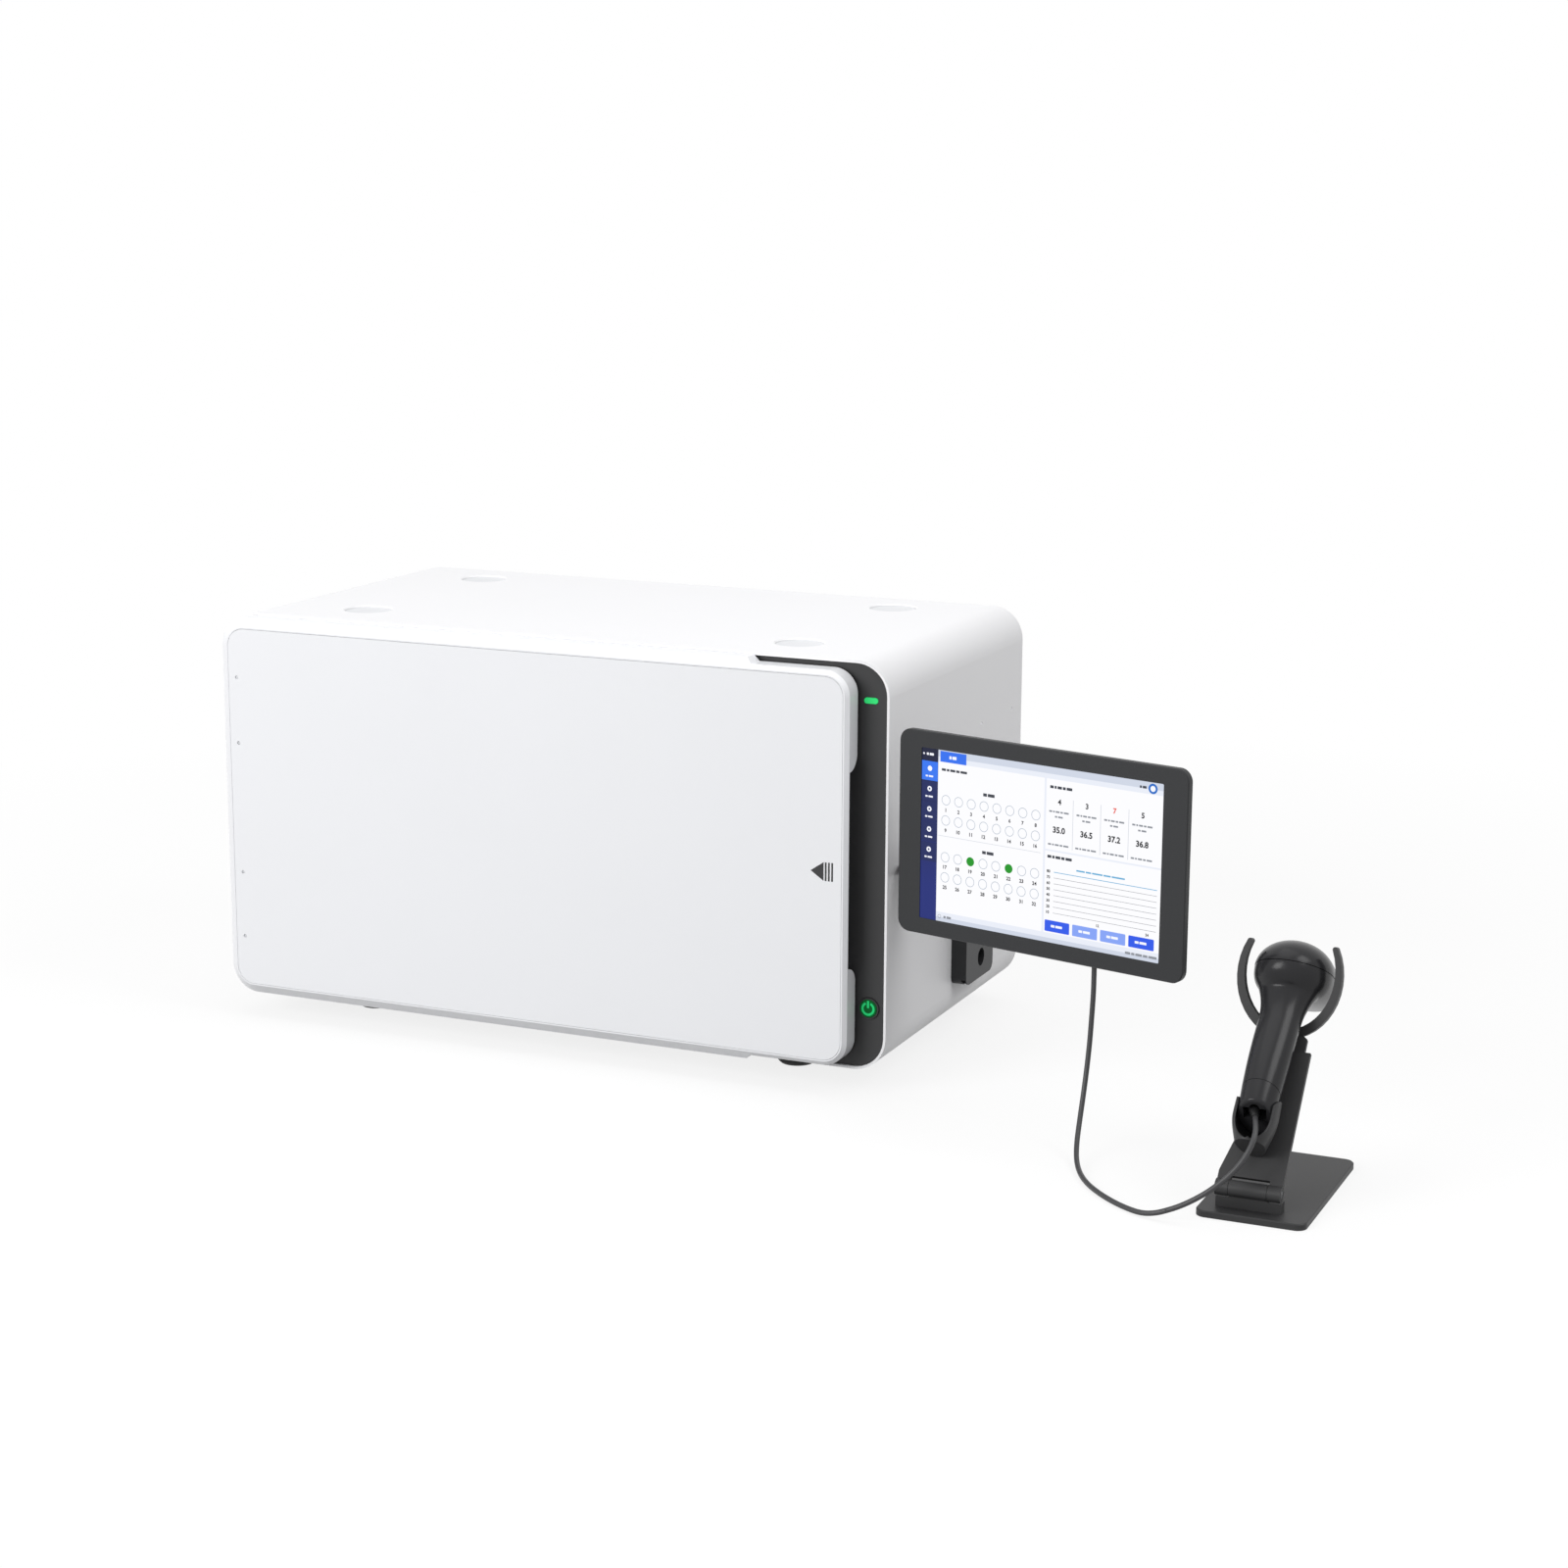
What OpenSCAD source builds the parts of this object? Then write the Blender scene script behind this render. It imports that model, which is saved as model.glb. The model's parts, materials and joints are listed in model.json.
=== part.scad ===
// Bench-top automated blood culture system: a heated cabinet with a side-hinged door,
// two rocking racks of bottle wells behind it, a touch monitor on a side arm and a
// hand scanner in its stand. Millimetres; X to the right, Y to the back, Z up.
// Sizes are laid out about the cabinet: X = 0 is its middle, Y = 0 the door's front face
// and Z = 0 the bench. The whole is then centred on its own footprint.

/* [Cabinet] */
// Space between the chamber and the case's left side
side_left = 37; // [34:0.5:45]
// Space for the drive between the chamber and the case's right side
side_right = 117; // [112:0.5:130]
// Space between the chamber and the case's top and underside
side_z = 32; // [30:0.5:40]
// Space behind the chamber for fan, supply and boards
rear_space = 116.5; // [112:0.5:150]
// Outer corner radius of the case
case_r = 28; // [20:1:34]
// Thickness of the case sheet
case_t = 2; // [1.5:0.1:3]
// Height of the rubber feet
foot_h = 20; // [14:1:30]
// Diameter of the rubber feet
foot_d = 32; // [26:1:38]
// Distance from the case's sides to the feet
foot_in = 102.5; // [90:0.5:115]
// Distance from the case's front rim to the front feet
foot_front = 60; // [50:1:70]
// Distance from the case's rear rim to the rear feet
foot_rear = 49; // [40:1:60]
// Diameter of the stacking recesses in the top
recess_d = 40; // [38:1:44]
// Depth of the stacking recesses
recess_depth = 3; // [2:0.5:5]
// Thickness of the dark front frame
bezel_t = 3; // [2:0.5:4]
// Set-back of the front frame behind the case rim
bezel_back = 2; // [1.5:0.5:3]
// Set-back of the rear panel from the case's rear rim
rear_inset = 8; // [5:1:15]

/* [Door] */
// Distance of the door's flat face from the case's left side
face_in = 10.5; // [10:0.1:12]
// Width of the dark strip between the door's face and the case's right side
strip_w = 29.5; // [28:0.1:36]
// Distance of the door's flat face from the case's top and underside
face_edge = 9.4; // [9:0.1:12]
// Thickness of the door
door_t = 19.5; // [18:0.5:24]
// Corner radius of the front face
door_r = 17; // [12:1:22]
// Gap between the door's back and the case rim
door_gap = 1; // [0.8:0.1:1.2]
// Width of the plain bevel round the face
bevel = 3.2; // [2:0.1:4]
// Outward flare of the lip along the top, left and bottom
lip_flare = 7.9; // [6:0.1:8.5]
// Depth over which the lip flares
lip_rise = 6.6; // [5:0.1:8]
// Distance from the case's right side to the end of the lip
lip_short = 107.5; // [95:0.5:110]
// Height of the finger grip in the door's right edge
grip_h = 160; // [120:1:200]
// Reach of the finger grip into the door
grip_reach = 16.7; // [12:0.1:17]
// Radius of the finger grip's ends
grip_r = 15; // [12:0.1:15]
// Largest opening angle of the door
door_open = 110; // [90:1:110]

/* [Hinges] */
// Radius of the hinge pins
pin_r = 2.5; // [2:0.1:2.5]
// Running clearance of the turning parts on their pins
run_gap = 0.05; // [0.03:0.01:0.08]
// Distance of the hinges from the case's top and underside
hinge_end = 81.3; // [75:0.1:90]
// Distance between the two screws of a hinge
hinge_screw_span = 57; // [54:1:58]

/* [Chamber and racks] */
// Space beside the racks in the chamber
rack_side = 28; // [24:0.5:32]
// Space above and below the racks that they swing in
rack_swing = 26.5; // [25:0.5:32]
// Space behind the rocking axis in the chamber
back_room = 84; // [80:0.5:90]
// Thickness of the chamber sheet
liner_t = 1.5; // [1:0.1:2]
// Thickness of the foam round the chamber
foam_t = 12; // [8:1:12]
// Number of wells in a row
well_cols = 8; // [6:1:8]
// Distance between wells in a row
well_pitch = 48; // [44:0.5:48]
// Distance between the two rows of a rack
row_pitch = 47; // [42:0.5:47]
// Inner radius of a well
well_r = 18; // [16:0.5:18.5]
// Depth of a well
well_depth = 68; // [60:1:70]
// Distance from a row's middle to the rack's upper or lower edge
row_edge = 26.5; // [24:0.5:27]
// Thickness of the racks behind the wells
rack_floor = 7; // [5:0.5:9]
// Distance of the rocking axis behind the front frame
rock_back = 106.5; // [104:0.5:110]
// Radius of the rocking shaft
shaft_r = 6; // [5:0.5:7]
// Rocking angle to each side
rock_angle = 15; // [8:1:15]

/* [Rocking drive] */
// Gear module
gear_m = 1.5; // [1.5:0.1:1.5]
// Teeth of the full circle that the sector is cut from
sector_teeth = 72; // [64:4:72]
// Teeth of the pinion
pinion_teeth = 18; // [18:1:20]
// Face width of the gears
gear_w = 8; // [6:0.5:9]
// Thinning of each tooth flank for backlash
backlash = 0.06; // [0.04:0.01:0.1]

/* [Front controls] */
// Distance from the case's right side to the status light
led_in = 16.2; // [14:0.1:18]
// Distance from the case's top to the status light
led_down = 31.4; // [27:0.1:40]
// Width of the status light
led_w = 11.6; // [8:0.1:13]
// Height of the status light
led_h = 4.75; // [3:0.05:6]
// Distance from the case's right side to the power button
button_in = 15.3; // [14.5:0.1:18]
// Height of the power button above the case's underside
button_up = 51.6; // [40:0.1:70]
// Diameter of the power button's ring
button_ring_d = 18.5; // [16:0.5:20]
// Diameter of the moving button
button_d = 14.6; // [12:0.1:15]
// Travel of the power button
button_travel = 1.5; // [1:0.1:2]

/* [Arm and monitor] */
// Thickness of the arm's block on the case side
block_t = 13.5; // [12:0.5:16]
// Depth of the arm's block
block_d = 65; // [50:1:80]
// Distance from the case's front rim to the block
block_back = 147.5; // [140:0.5:160]
// Height of the block's lower end
block_z0 = 55; // [45:1:65]
// Height of the arm plate's underside
arm_z = 178; // [176:1:180]
// Thickness of the arm plate
arm_t = 9; // [7:0.5:10]
// Half width of the arm plate's bars
arm_half = 13; // [11:0.5:14]
// Distance from the case side to the elbow's middle
elbow_out = 15; // [14.5:0.5:18]
// Distance from the door face back to the elbow's middle
elbow_y = 45; // [44:1:60]
// Radius of the swivel post
post_r = 7; // [5:0.5:8]
// Distance from the case side to the monitor's middle
monitor_out = 138.1; // [136:0.1:160]
// Distance of the monitor's middle in front of the door face
monitor_fwd = 20.4; // [15:0.1:22]
// Height of the monitor's middle above the arm plate's underside
monitor_up = 45.9; // [42:0.1:48]
// Angle by which the monitor is turned to the left of the front
monitor_yaw = 14.22; // [12:0.01:16]
// Width of the monitor's rim left and right of the screen
rim_x = 21; // [15:0.5:24]
// Width of the monitor's rim above and below the screen
rim_z = 13; // [10:0.5:16]
// Thickness of the monitor's front frame
monitor_t = 5.5; // [5:0.5:6]
// Whole thickness of the monitor with its rear housing
monitor_full_t = 22; // [20:0.5:22]
// Corner radius of the monitor
monitor_r = 10; // [6:1:14]
// Width of the screen's lit area
screen_w = 217; // [205:0.5:222]
// Height of the screen's lit area
screen_h = 136; // [125:0.5:140]
// Distance from the monitor's front to its swivel axis
swivel_back = 34; // [34:0.5:36]
// Hole pattern of the monitor's rear plate
vesa = 75; // [75:1:75]

/* [Scanner stand] */
// Distance from the case's right side to the stand's middle
stand_out = 343.5; // [335:0.5:400]
// Width of the stand's base plate
base_w = 81; // [70:1:100]
// Length of the base plate
base_d = 154; // [130:1:180]
// Thickness of the base plate
base_t = 5; // [4:0.5:6]
// Distance of the base plate's front edge in front of the door face
base_fwd = 142; // [142:1:150]
// Shift of the tilting post to the left of the base's middle
post_shift = 4.5; // [0:0.5:6]
// Distance of the tilt hinge behind the base's front edge
tilt_back = 15; // [14:0.5:20]
// Height of the tilt hinge
tilt_z = 19.5; // [19:0.5:22]
// Radius of the hinge knuckles
knuckle_r = 6; // [5.5:0.5:6.5]
// Lean of the post above the bench, as an angle
lean = 50.4; // [45:0.1:55]
// Width of the post
post_w = 48; // [46:1:56]
// Length of the post from the hinge
post_len = 110; // [108:1:112]
// Thickness of the post
post_t = 4; // [3:0.5:4]
// Narrowing of the post's left edge above its foot
post_notch = 8; // [4:0.5:10]
// Half width of the fork's crescent
fork_half = 39; // [38:0.5:42]
// Height of the fork's crescent along its own plane
fork_rise = 70; // [60:0.5:70]
// Forward tilt of the fork against the post, as an angle
fork_tilt = 24.6; // [20:0.1:26]

/* [Scanner] */
// Half width of the scanner's head
head_half_w = 29; // [26:0.5:30]
// Half height of the scanner's head
head_half_h = 24; // [20:0.5:25]
// Half width of the handle at its middle
grip_half_w = 15.6; // [14:0.1:16]
// Half depth of the handle
grip_half_d = 13.6; // [12:0.1:14]
// Travel of the trigger
trigger_travel = 2; // [1:0.1:2.2]

/* [Hidden] */

// Clearance between pieces that stay together, and between pieces that pass each other
seat = 0.3;
pass = 0.5;
fine = 64;

rack_w = well_cols * well_pitch + 16;
rack_h = row_pitch + 2 * row_edge;
rack_d = well_depth + rack_floor;
rack_gap = shaft_r + 2;
rack_mid = rack_gap + rack_h / 2;
chamber_w = rack_w + 2 * rack_side;
chamber_h = 2 * (rack_gap + rack_h + rack_swing);
chamber_d = rock_back + back_room;
case_w = side_left + chamber_w + side_right;
case_h = chamber_h + 2 * side_z;
case_d = bezel_back + bezel_t + chamber_d + rear_space;

case_y0 = door_t + door_gap;
case_y1 = case_y0 + case_d;
case_z0 = foot_h;
case_z1 = case_z0 + case_h;
mid_z = (case_z0 + case_z1) / 2;
in_w = case_w - 2 * case_t;
in_h = case_h - 2 * case_t;
in_r = case_r - case_t;
foot_x = case_w / 2 - foot_in;
foot_y0 = case_y0 + foot_front;
foot_y1 = case_y1 - foot_rear;
bezel_y = case_y0 + bezel_back;
bezel_y1 = bezel_y + bezel_t;
rear_y = case_y1 - rear_inset;
rear_t = 2;
recess_floor = 1.5;
floor_half = case_w / 2 - case_r - 5;
floor_lap = 4.5;

// Two small screws in the right side hold the board carrier inside
side_screw_ys = [case_y1 - 100.3, case_y1 - 24.8];
side_screw_z = case_z1 - 85;
side_screw_r = 1.5;

led_x = case_w / 2 - led_in;
led_z = case_z1 - led_down;
button_x = case_w / 2 - button_in;
button_z = case_z0 + button_up;

// The face keeps its place at the left, so the dark strip at the right shows the controls
face_left = -case_w / 2 + face_in;
door_w = case_w - face_in - strip_w;
door_h = case_h - 2 * face_edge;
face_x = face_left + door_w / 2;
face_right = face_left + door_w;
lip_end = case_w / 2 - lip_short;
panel_t = 3;
panel_inset = 1.2;
shell_front = 6.8;
liner_plate_t = 2.5;
pocket_left = face_left + 16.2;
pocket_right = face_right - grip_reach - 3;
grip_z = mid_z;
grip_front = 4.4;

// The hinge axis lies inside the door's rear left edge, which is rounded about it
edge_r = 6.5;
axis_x = face_left - lip_flare + edge_r;
axis_y = door_t - edge_r;
hinge_zs = [case_z1 - hinge_end, case_z0 + hinge_end];
leaf_half = hinge_screw_span / 2 + 5.5;
eye_half = 8.5;
knuckle_len = 12.5;
hinge_knuckle_r = 5.8;
leaf_t = 2;
screw_x = face_left + 9.5;

chamber_x = (side_left - side_right) / 2;
chamber_x0 = chamber_x - chamber_w / 2;
chamber_x1 = chamber_x + chamber_w / 2;
chamber_y1 = bezel_y1 + chamber_d;
axis_rock_y = bezel_y1 + rock_back;
shaft_hole_r = 22;

// Magnetic catch at the free side of the door
catch_x = chamber_x1 + 38;
catch_half = chamber_h / 2 - 16.5;
catch_zs = [mid_z - catch_half, mid_z + catch_half];

fan_r = 38;
fan_box = 80;
fan_y0 = chamber_y1 + liner_t + seat;
fan_t = 25;

// Rear panel: two vent fields, and the mains inlet with its switch
vent_x = -case_w / 2 + 145;
vent_span = 70;
vent_len = 56;
vent_h = 3;
inlet_x = case_w / 2 - 75;
inlet_z = case_z0 + 55;
inlet_w = 47;
inlet_h = 27;
inlet_depth = 26;
socket_x = -10;
socket_w = 24;
socket_h = 16.4;
socket_depth = 16;
rocker_x = 15;
rocker_half = 9;
rocker_z_half = 10.5;
switch_tilt = 12;

// Supply and main board behind the chamber
supply_x = -case_w / 2 + 111;
supply_w = 120;
supply_d = 80;
supply_h = 40;
board_w = 200;
board_h = 150;
board_x = case_w / 2 - 215;
standoff = 14;

rack_front = -39;
plate_w = 3;
tie = 6;
board_t = 1.6;
light_r = 1.6;
light_len = 6;
light_up = 15;
vial_len = 80;
plate_y0 = -36;
plate_y1 = rack_front + rack_d + 10;
plate_z = rack_gap + rack_h;
shaft_x0 = chamber_x0 - liner_t - 18;
shaft_x1 = chamber_x1 + liner_t + 27;
bearing_t = 13;

pressure = 20;
sector_half = 33;
pitch_sector = gear_m * sector_teeth / 2;
pitch_pinion = gear_m * pinion_teeth / 2;
gear_gap = pitch_sector + pitch_pinion;
gear_x = chamber_x1 + liner_t + 16.5;
motor_x = gear_x + gear_w + 6;
motor_r = 18.5;
motor_len = 62;
motor_shaft_r = 3;
pinion_z = mid_z - gear_gap;

arm_x = case_w / 2 + elbow_out;
block_y0 = case_y0 + block_back;
block_y1 = block_y0 + block_d;
socket_y = block_y0 + 35.8;
socket_z = block_z0 + 17.5;
socket_r = 7.7;
mon_x = case_w / 2 + monitor_out;
mon_y = -monitor_fwd;
swivel_x = mon_x + swivel_back * sin(monitor_yaw);
swivel_y = mon_y + swivel_back * cos(monitor_yaw);
monitor_w = screen_w + 2 * rim_x;
monitor_h = screen_h + 2 * rim_z;
monitor_z = arm_z + monitor_up;
box_w = 190;
box_h = 96;
box_z0 = arm_z + arm_t + 5;
box_mid = box_z0 + box_h / 2;
back_t = 1.5;
vesa_w = vesa + 11;
vesa_t = 3;
shoulder_z = box_z0 + 8;
collar_h = 16;
post_rim = swivel_back - monitor_full_t - vesa_t - post_r - pass;
post_top = shoulder_z + 54;
plug_s = 45;
plug_d = 13;

stand_x = case_w / 2 + stand_out;
post_x = stand_x - post_shift;
tilt_y = -base_fwd + tilt_back;
tilt_pin_r = pin_r;
knuckle_w = 9.7;
middle_half = post_w / 2 - knuckle_w - seat;
cup_z0 = 25;
cup_z1 = 60;
cup_y = -24.8;
cup_r = 16.4;
cup_t = 1.7;
cup_lip = 8.5;
cup_slant = 16;
neck_z = post_len - 24;
neck_t = 3.6;
neck_top = post_len + 14;
fork_t = 7;
fork_band = 7.2;
head_z = post_len + 62;
head_y0 = -37;
head_y1 = 52;
head_rise = 0.15;
bowl = 0.8;
parting_gap = 0.4;
window_y = head_y1 - 5;
window_mid = head_z + head_rise * head_y1 - 8;
trigger_z0 = head_z - 41;
trigger_z1 = head_z - 27;
trigger_y = 0.5;
heel_z = 46;
handle_top = head_z - 12;
skin_sides = 32;
boot_len = 11;

// Footprint of everything but the cord, which the whole is centred on
left_x = -case_w / 2;
right_x = stand_x + base_w / 2;
front_y = -base_fwd;
origin_x = (left_x + right_x) / 2;
origin_y = (front_y + case_y1) / 2;

// The cord's route: down from the plug, along the bench, then up to the handle's end.
// On the bench X counts from the case's right side and stretches with the stand's place.
// From the bench up to the scanner it counts from the stand's middle. The two stretches
// meet in a face square to X, which slides on itself as the stand tilts.
cord_r = 2;
cord_sides = 8;
boot_r = 4.62;
bench_points = [
    [185, -19, 142.6], [185, -19, 132], [185, -19.5, 118], [184.5, -20.5, 100], [184, -22.5, 80],
    [183.5, -26.5, 60], [183.5, -33, 42], [184.5, -43, 26], [187.5, -58, 12.5], [193.5, -76, 5.5],
    [202.5, -95, 2.6], [214.5, -114, 2.2], [229, -130.5, 2.2], [245, -144.5, 2.2],
    [260, -154, 2.2], [270.5, -158.6, 2.8], [280, -160.9, 5], [289, -161.5, 8.5]
];
scanner_points = [
    [-54.5, -161.5, 8.5], [-45, -161.8, 13.2], [-35.5, -161, 18.9], [-26.2, -158.8, 25.4],
    [-17.5, -155.8, 32.9], [-10.1, -152.8, 40.6], [-4.3, -149.6, 48.6], [-0.5, -145.8, 56.3],
    [1.1, -141, 62.8], [0.7, -134.8, 67.9], [-1.2, -128.2, 71], [-3.1, -122.5, 72.9]
];
fall_x = bench_points[0][0];
bench_end = bench_points[len(bench_points) - 1][0];
stretch = (stand_out + scanner_points[0][0] - fall_x) / (bench_end - fall_x);
bench_route = [for (q = bench_points) [case_w / 2 + fall_x + stretch * (q[0] - fall_x), q[1], q[2]]];
scanner_route = [for (q = scanner_points) q + [stand_x, 0, 0]];
port_heading = unit([-0.3, 0.9, 0.3]);

// Rounded rectangle about the origin
module rrect(w, h, r) {
    square([w - 2 * r, h], center = true);
    square([w, h - 2 * r], center = true);
    for (sx = [-1, 1])
        for (sy = [-1, 1])
            translate([sx * (w / 2 - r), sy * (h / 2 - r)])
                circle(r = r, $fn = fine);
}

// Extrudes a shape drawn in X and Z from y0 back to y1
module along_y(y0, y1) {
    translate([0, y1, 0])
        rotate([90, 0, 0])
            linear_extrude(y1 - y0)
                children();
}

// Extrudes a shape drawn in Y and Z from x0 to x1
module along_x(x0, x1) {
    translate([x0, 0, 0])
        rotate([90, 0, 90])
            linear_extrude(x1 - x0)
                children();
}

module rod_x(x0, x1, y, z, r) {
    translate([x0, y, z])
        rotate([0, 90, 0])
            cylinder(h = x1 - x0, r = r, $fn = fine);
}

module rod_y(y0, y1, x, z, r0, r1) {
    translate([x, y0, z])
        rotate([-90, 0, 0])
            cylinder(h = y1 - y0, r1 = r0, r2 = r1, $fn = fine);
}

module rod_z(z0, z1, x, y, r) {
    translate([x, y, z0])
        cylinder(h = z1 - z0, r = r, $fn = fine);
}

// A box between two corners
module block(a, b) {
    translate(a)
        cube(b - a);
}

// A rounded plate in X and Z that widens by flare from y0 to y1
module flare_plate(w, h, r, flare, y0, y1) {
    for (sx = [-1, 1])
        for (sz = [-1, 1])
            rod_y(y0, y1, sx * (w / 2 - r), sz * (h / 2 - r), r, r + flare);
    translate([0, 0, r - h / 2])
        linear_extrude(h - 2 * r)
            polygon([[-w / 2, y0], [w / 2, y0], [w / 2 + flare, y1], [-w / 2 - flare, y1]]);
    along_x(r - w / 2, w / 2 - r)
        polygon([[y0, -h / 2], [y0, h / 2], [y1, h / 2 + flare], [y1, -h / 2 - flare]]);
}

// Everything stands about the middle of its footprint
module placed() {
    translate([-origin_x, -origin_y, 0])
        children();
}

module at_feet() {
    for (sx = [-1, 1])
        for (y = [foot_y0, foot_y1])
            translate([sx * foot_x, y, 0])
                children();
}

module case_shell() {
    cup_z = case_z1 - recess_depth - recess_floor;
    color([0.96, 0.96, 0.97])
    placed()
    difference() {
        union() {
            translate([0, 0, mid_z])
                along_y(case_y0, case_y1)
                    difference() {
                        rrect(case_w, case_h, case_r);
                        rrect(in_w, in_h, in_r);
                        translate([0, -case_h / 2])
                            square([2 * floor_half + 2 * seat, 3 * case_t], center = true);
                    }
            case_floor();
            at_feet()
                translate([0, 0, cup_z])
                    cylinder(h = case_z1 - case_t / 2 - cup_z, d = recess_d + 2 * case_t, $fn = fine);
        }
        at_feet() {
            translate([0, 0, case_z1 - recess_depth])
                cylinder(h = recess_depth + 1, d = recess_d, $fn = fine);
            translate([0, 0, case_z1 - 1])
                cylinder(h = 1.01, d1 = recess_d, d2 = recess_d + 2.4, $fn = fine);
            translate([0, 0, case_z0 - 1])
                cylinder(h = case_t + 2, r = 2.2, $fn = fine);
        }
        for (y = side_screw_ys)
            rod_x(case_w / 2 - case_t - 1, case_w / 2 + 1, y, side_screw_z, side_screw_r + 0.1);
    }
}

// The floor plate closes the wrap from below and laps over its two returns
module case_floor() {
    block([-floor_half, case_y0, case_z0], [floor_half, case_y1, case_z0 + case_t]);
    for (s = [-1, 1])
        block([s * floor_half - floor_lap, case_y0 + 12, case_z0 + case_t],
            [s * floor_half + floor_lap, case_y1 - rear_inset - 4, case_z0 + 2 * case_t]);
}

module case_screws() {
    color([0.3, 0.3, 0.31])
    placed() {
        for (y = side_screw_ys)
            rod_x(case_w / 2 - 8, case_w / 2 - 0.2, y, side_screw_z, side_screw_r);
        at_feet()
            rod_z(case_z0 - 8, case_z0 + case_t + 4, 0, 0, 2);
    }
}

module front_bezel() {
    color([0.24, 0.24, 0.245])
    placed()
    difference() {
        translate([0, 0, mid_z])
            along_y(bezel_y, bezel_y1)
                rrect(in_w - 2 * seat, in_h - 2 * seat, in_r - seat);
        translate([chamber_x, 0, mid_z])
            along_y(bezel_y - 1, bezel_y1 + 1)
                rrect(chamber_w, chamber_h, 6);
        translate([led_x, 0, led_z])
            along_y(bezel_y - 1, bezel_y1 + 1)
                rrect(led_w + 0.4, led_h + 0.4, led_h / 2 - 0.1);
        rod_y(bezel_y - 1, bezel_y1 + 1, button_x, button_z, button_d / 2 + 0.6, button_d / 2 + 0.6);
        for (z = hinge_zs)
            block([axis_x - 3.9, bezel_y - 1, z - eye_half - 1],
                [axis_x + 4.1, bezel_y1 + 1, z + eye_half + 1]);
        for (z = catch_zs)
            translate([catch_x, 0, z])
                along_y(bezel_y - 1, bezel_y1 + 1)
                    rrect(24.6, 10.6, 2);
    }
}

module catch_plates() {
    color([0.72, 0.73, 0.74])
    placed()
    for (z = catch_zs)
        translate([catch_x, 0, z])
            along_y(bezel_y - 0.5, bezel_y1)
                rrect(24, 10, 2);
}

module rear_panel() {
    color([0.9, 0.9, 0.91])
    placed()
    difference() {
        translate([0, 0, mid_z])
            along_y(rear_y - rear_t, rear_y)
                rrect(in_w - 2 * seat, in_h - 2 * seat, in_r - seat);
        translate([inlet_x, 0, inlet_z])
            along_y(rear_y - rear_t - 1, rear_y + 1)
                rrect(inlet_w + 0.6, inlet_h + 0.6, 2);
        for (i = [0 : 9])
            for (x = [vent_x, vent_x + vent_span])
                translate([x, 0, mid_z + 30 + 8 * i])
                    along_y(rear_y - rear_t - 1, rear_y + 1)
                        rrect(vent_len, vent_h, vent_h / 2 - 0.1);
    }
}

// Mains inlet and switch in one housing on the rear panel
module power_inlet() {
    color([0.12, 0.12, 0.125])
    placed()
    translate([inlet_x, rear_y, inlet_z]) {
        difference() {
            union() {
                along_y(-inlet_depth, 0)
                    rrect(inlet_w, inlet_h, 1.8);
                along_y(0, 2)
                    rrect(inlet_w + 5, inlet_h + 5, 3);
            }
            translate([socket_x, 0, 0])
                along_y(2 - socket_depth, 3)
                    rrect(socket_w, socket_h, 2);
            translate([rocker_x, 0, 0])
                along_y(-14, 3)
                    square([2 * rocker_half + 1, 2 * rocker_z_half + 2], center = true);
        }
        for (x = [-7, 0, 7])
            translate([socket_x + x, 0, x == 0 ? 2 : -2])
                along_y(2 - socket_depth, -4)
                    square([2, 4], center = true);
        for (sx = [-1, 1])
            rod_x(rocker_x + sx * (rocker_half + 0.5) - 0.5, rocker_x + sx * (rocker_half + 0.5) + 0.5,
                -6, 0, 1.5);
    }
}

// The switch rocker, tipped to its "on" side
module switch_rocker() {
    color([0.1, 0.1, 0.1])
    placed()
    translate([inlet_x + rocker_x, rear_y - 6, inlet_z])
        rotate([switch_tilt, 0, 0])
            difference() {
                along_x(-rocker_half + 0.3, rocker_half - 0.3)
                    polygon([[-2.5, -8.8], [6.4, -8.8], [8, -7.6], [6.2, 0], [8, 7.6], [6.4, 8.8],
                        [-2.5, 8.8],
                        [-5, 3], [-5, -3]]);
                rod_x(-rocker_half, rocker_half, 0, 0, 1.5 + run_gap);
            }
}

module chamber_liner() {
    color([0.84, 0.85, 0.86])
    placed()
    difference() {
        translate([chamber_x, 0, mid_z])
            along_y(bezel_y1 + seat, chamber_y1 + liner_t)
                rrect(chamber_w + 2 * liner_t, chamber_h + 2 * liner_t, 6 + liner_t);
        translate([chamber_x, 0, mid_z])
            along_y(bezel_y1 - 1, chamber_y1)
                rrect(chamber_w, chamber_h, 6);
        rod_x(chamber_x0 - 9, chamber_x1 + 9, axis_rock_y, mid_z, shaft_r + 2);
        rod_y(chamber_y1 - 1, chamber_y1 + liner_t + 1, chamber_x, mid_z, fan_r, fan_r);
    }
}

module chamber_insulation() {
    gap = liner_t + seat;
    color([0.9, 0.88, 0.8])
    placed()
    difference() {
        translate([chamber_x, 0, mid_z])
            along_y(bezel_y1 + 5, chamber_y1 + gap + foam_t)
                rrect(chamber_w + 2 * (gap + foam_t), chamber_h + 2 * (gap + foam_t), 10);
        translate([chamber_x, 0, mid_z])
            along_y(bezel_y1, chamber_y1 + gap)
                rrect(chamber_w + 2 * gap, chamber_h + 2 * gap, 6 + gap);
        rod_x(chamber_x0 - 40, chamber_x1 + 40, axis_rock_y, mid_z, shaft_hole_r);
        block([chamber_x - fan_box / 2 - 1, chamber_y1, mid_z - fan_box / 2 - 1],
            [chamber_x + fan_box / 2 + 1, chamber_y1 + 40, mid_z + fan_box / 2 + 1]);
    }
}

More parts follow.
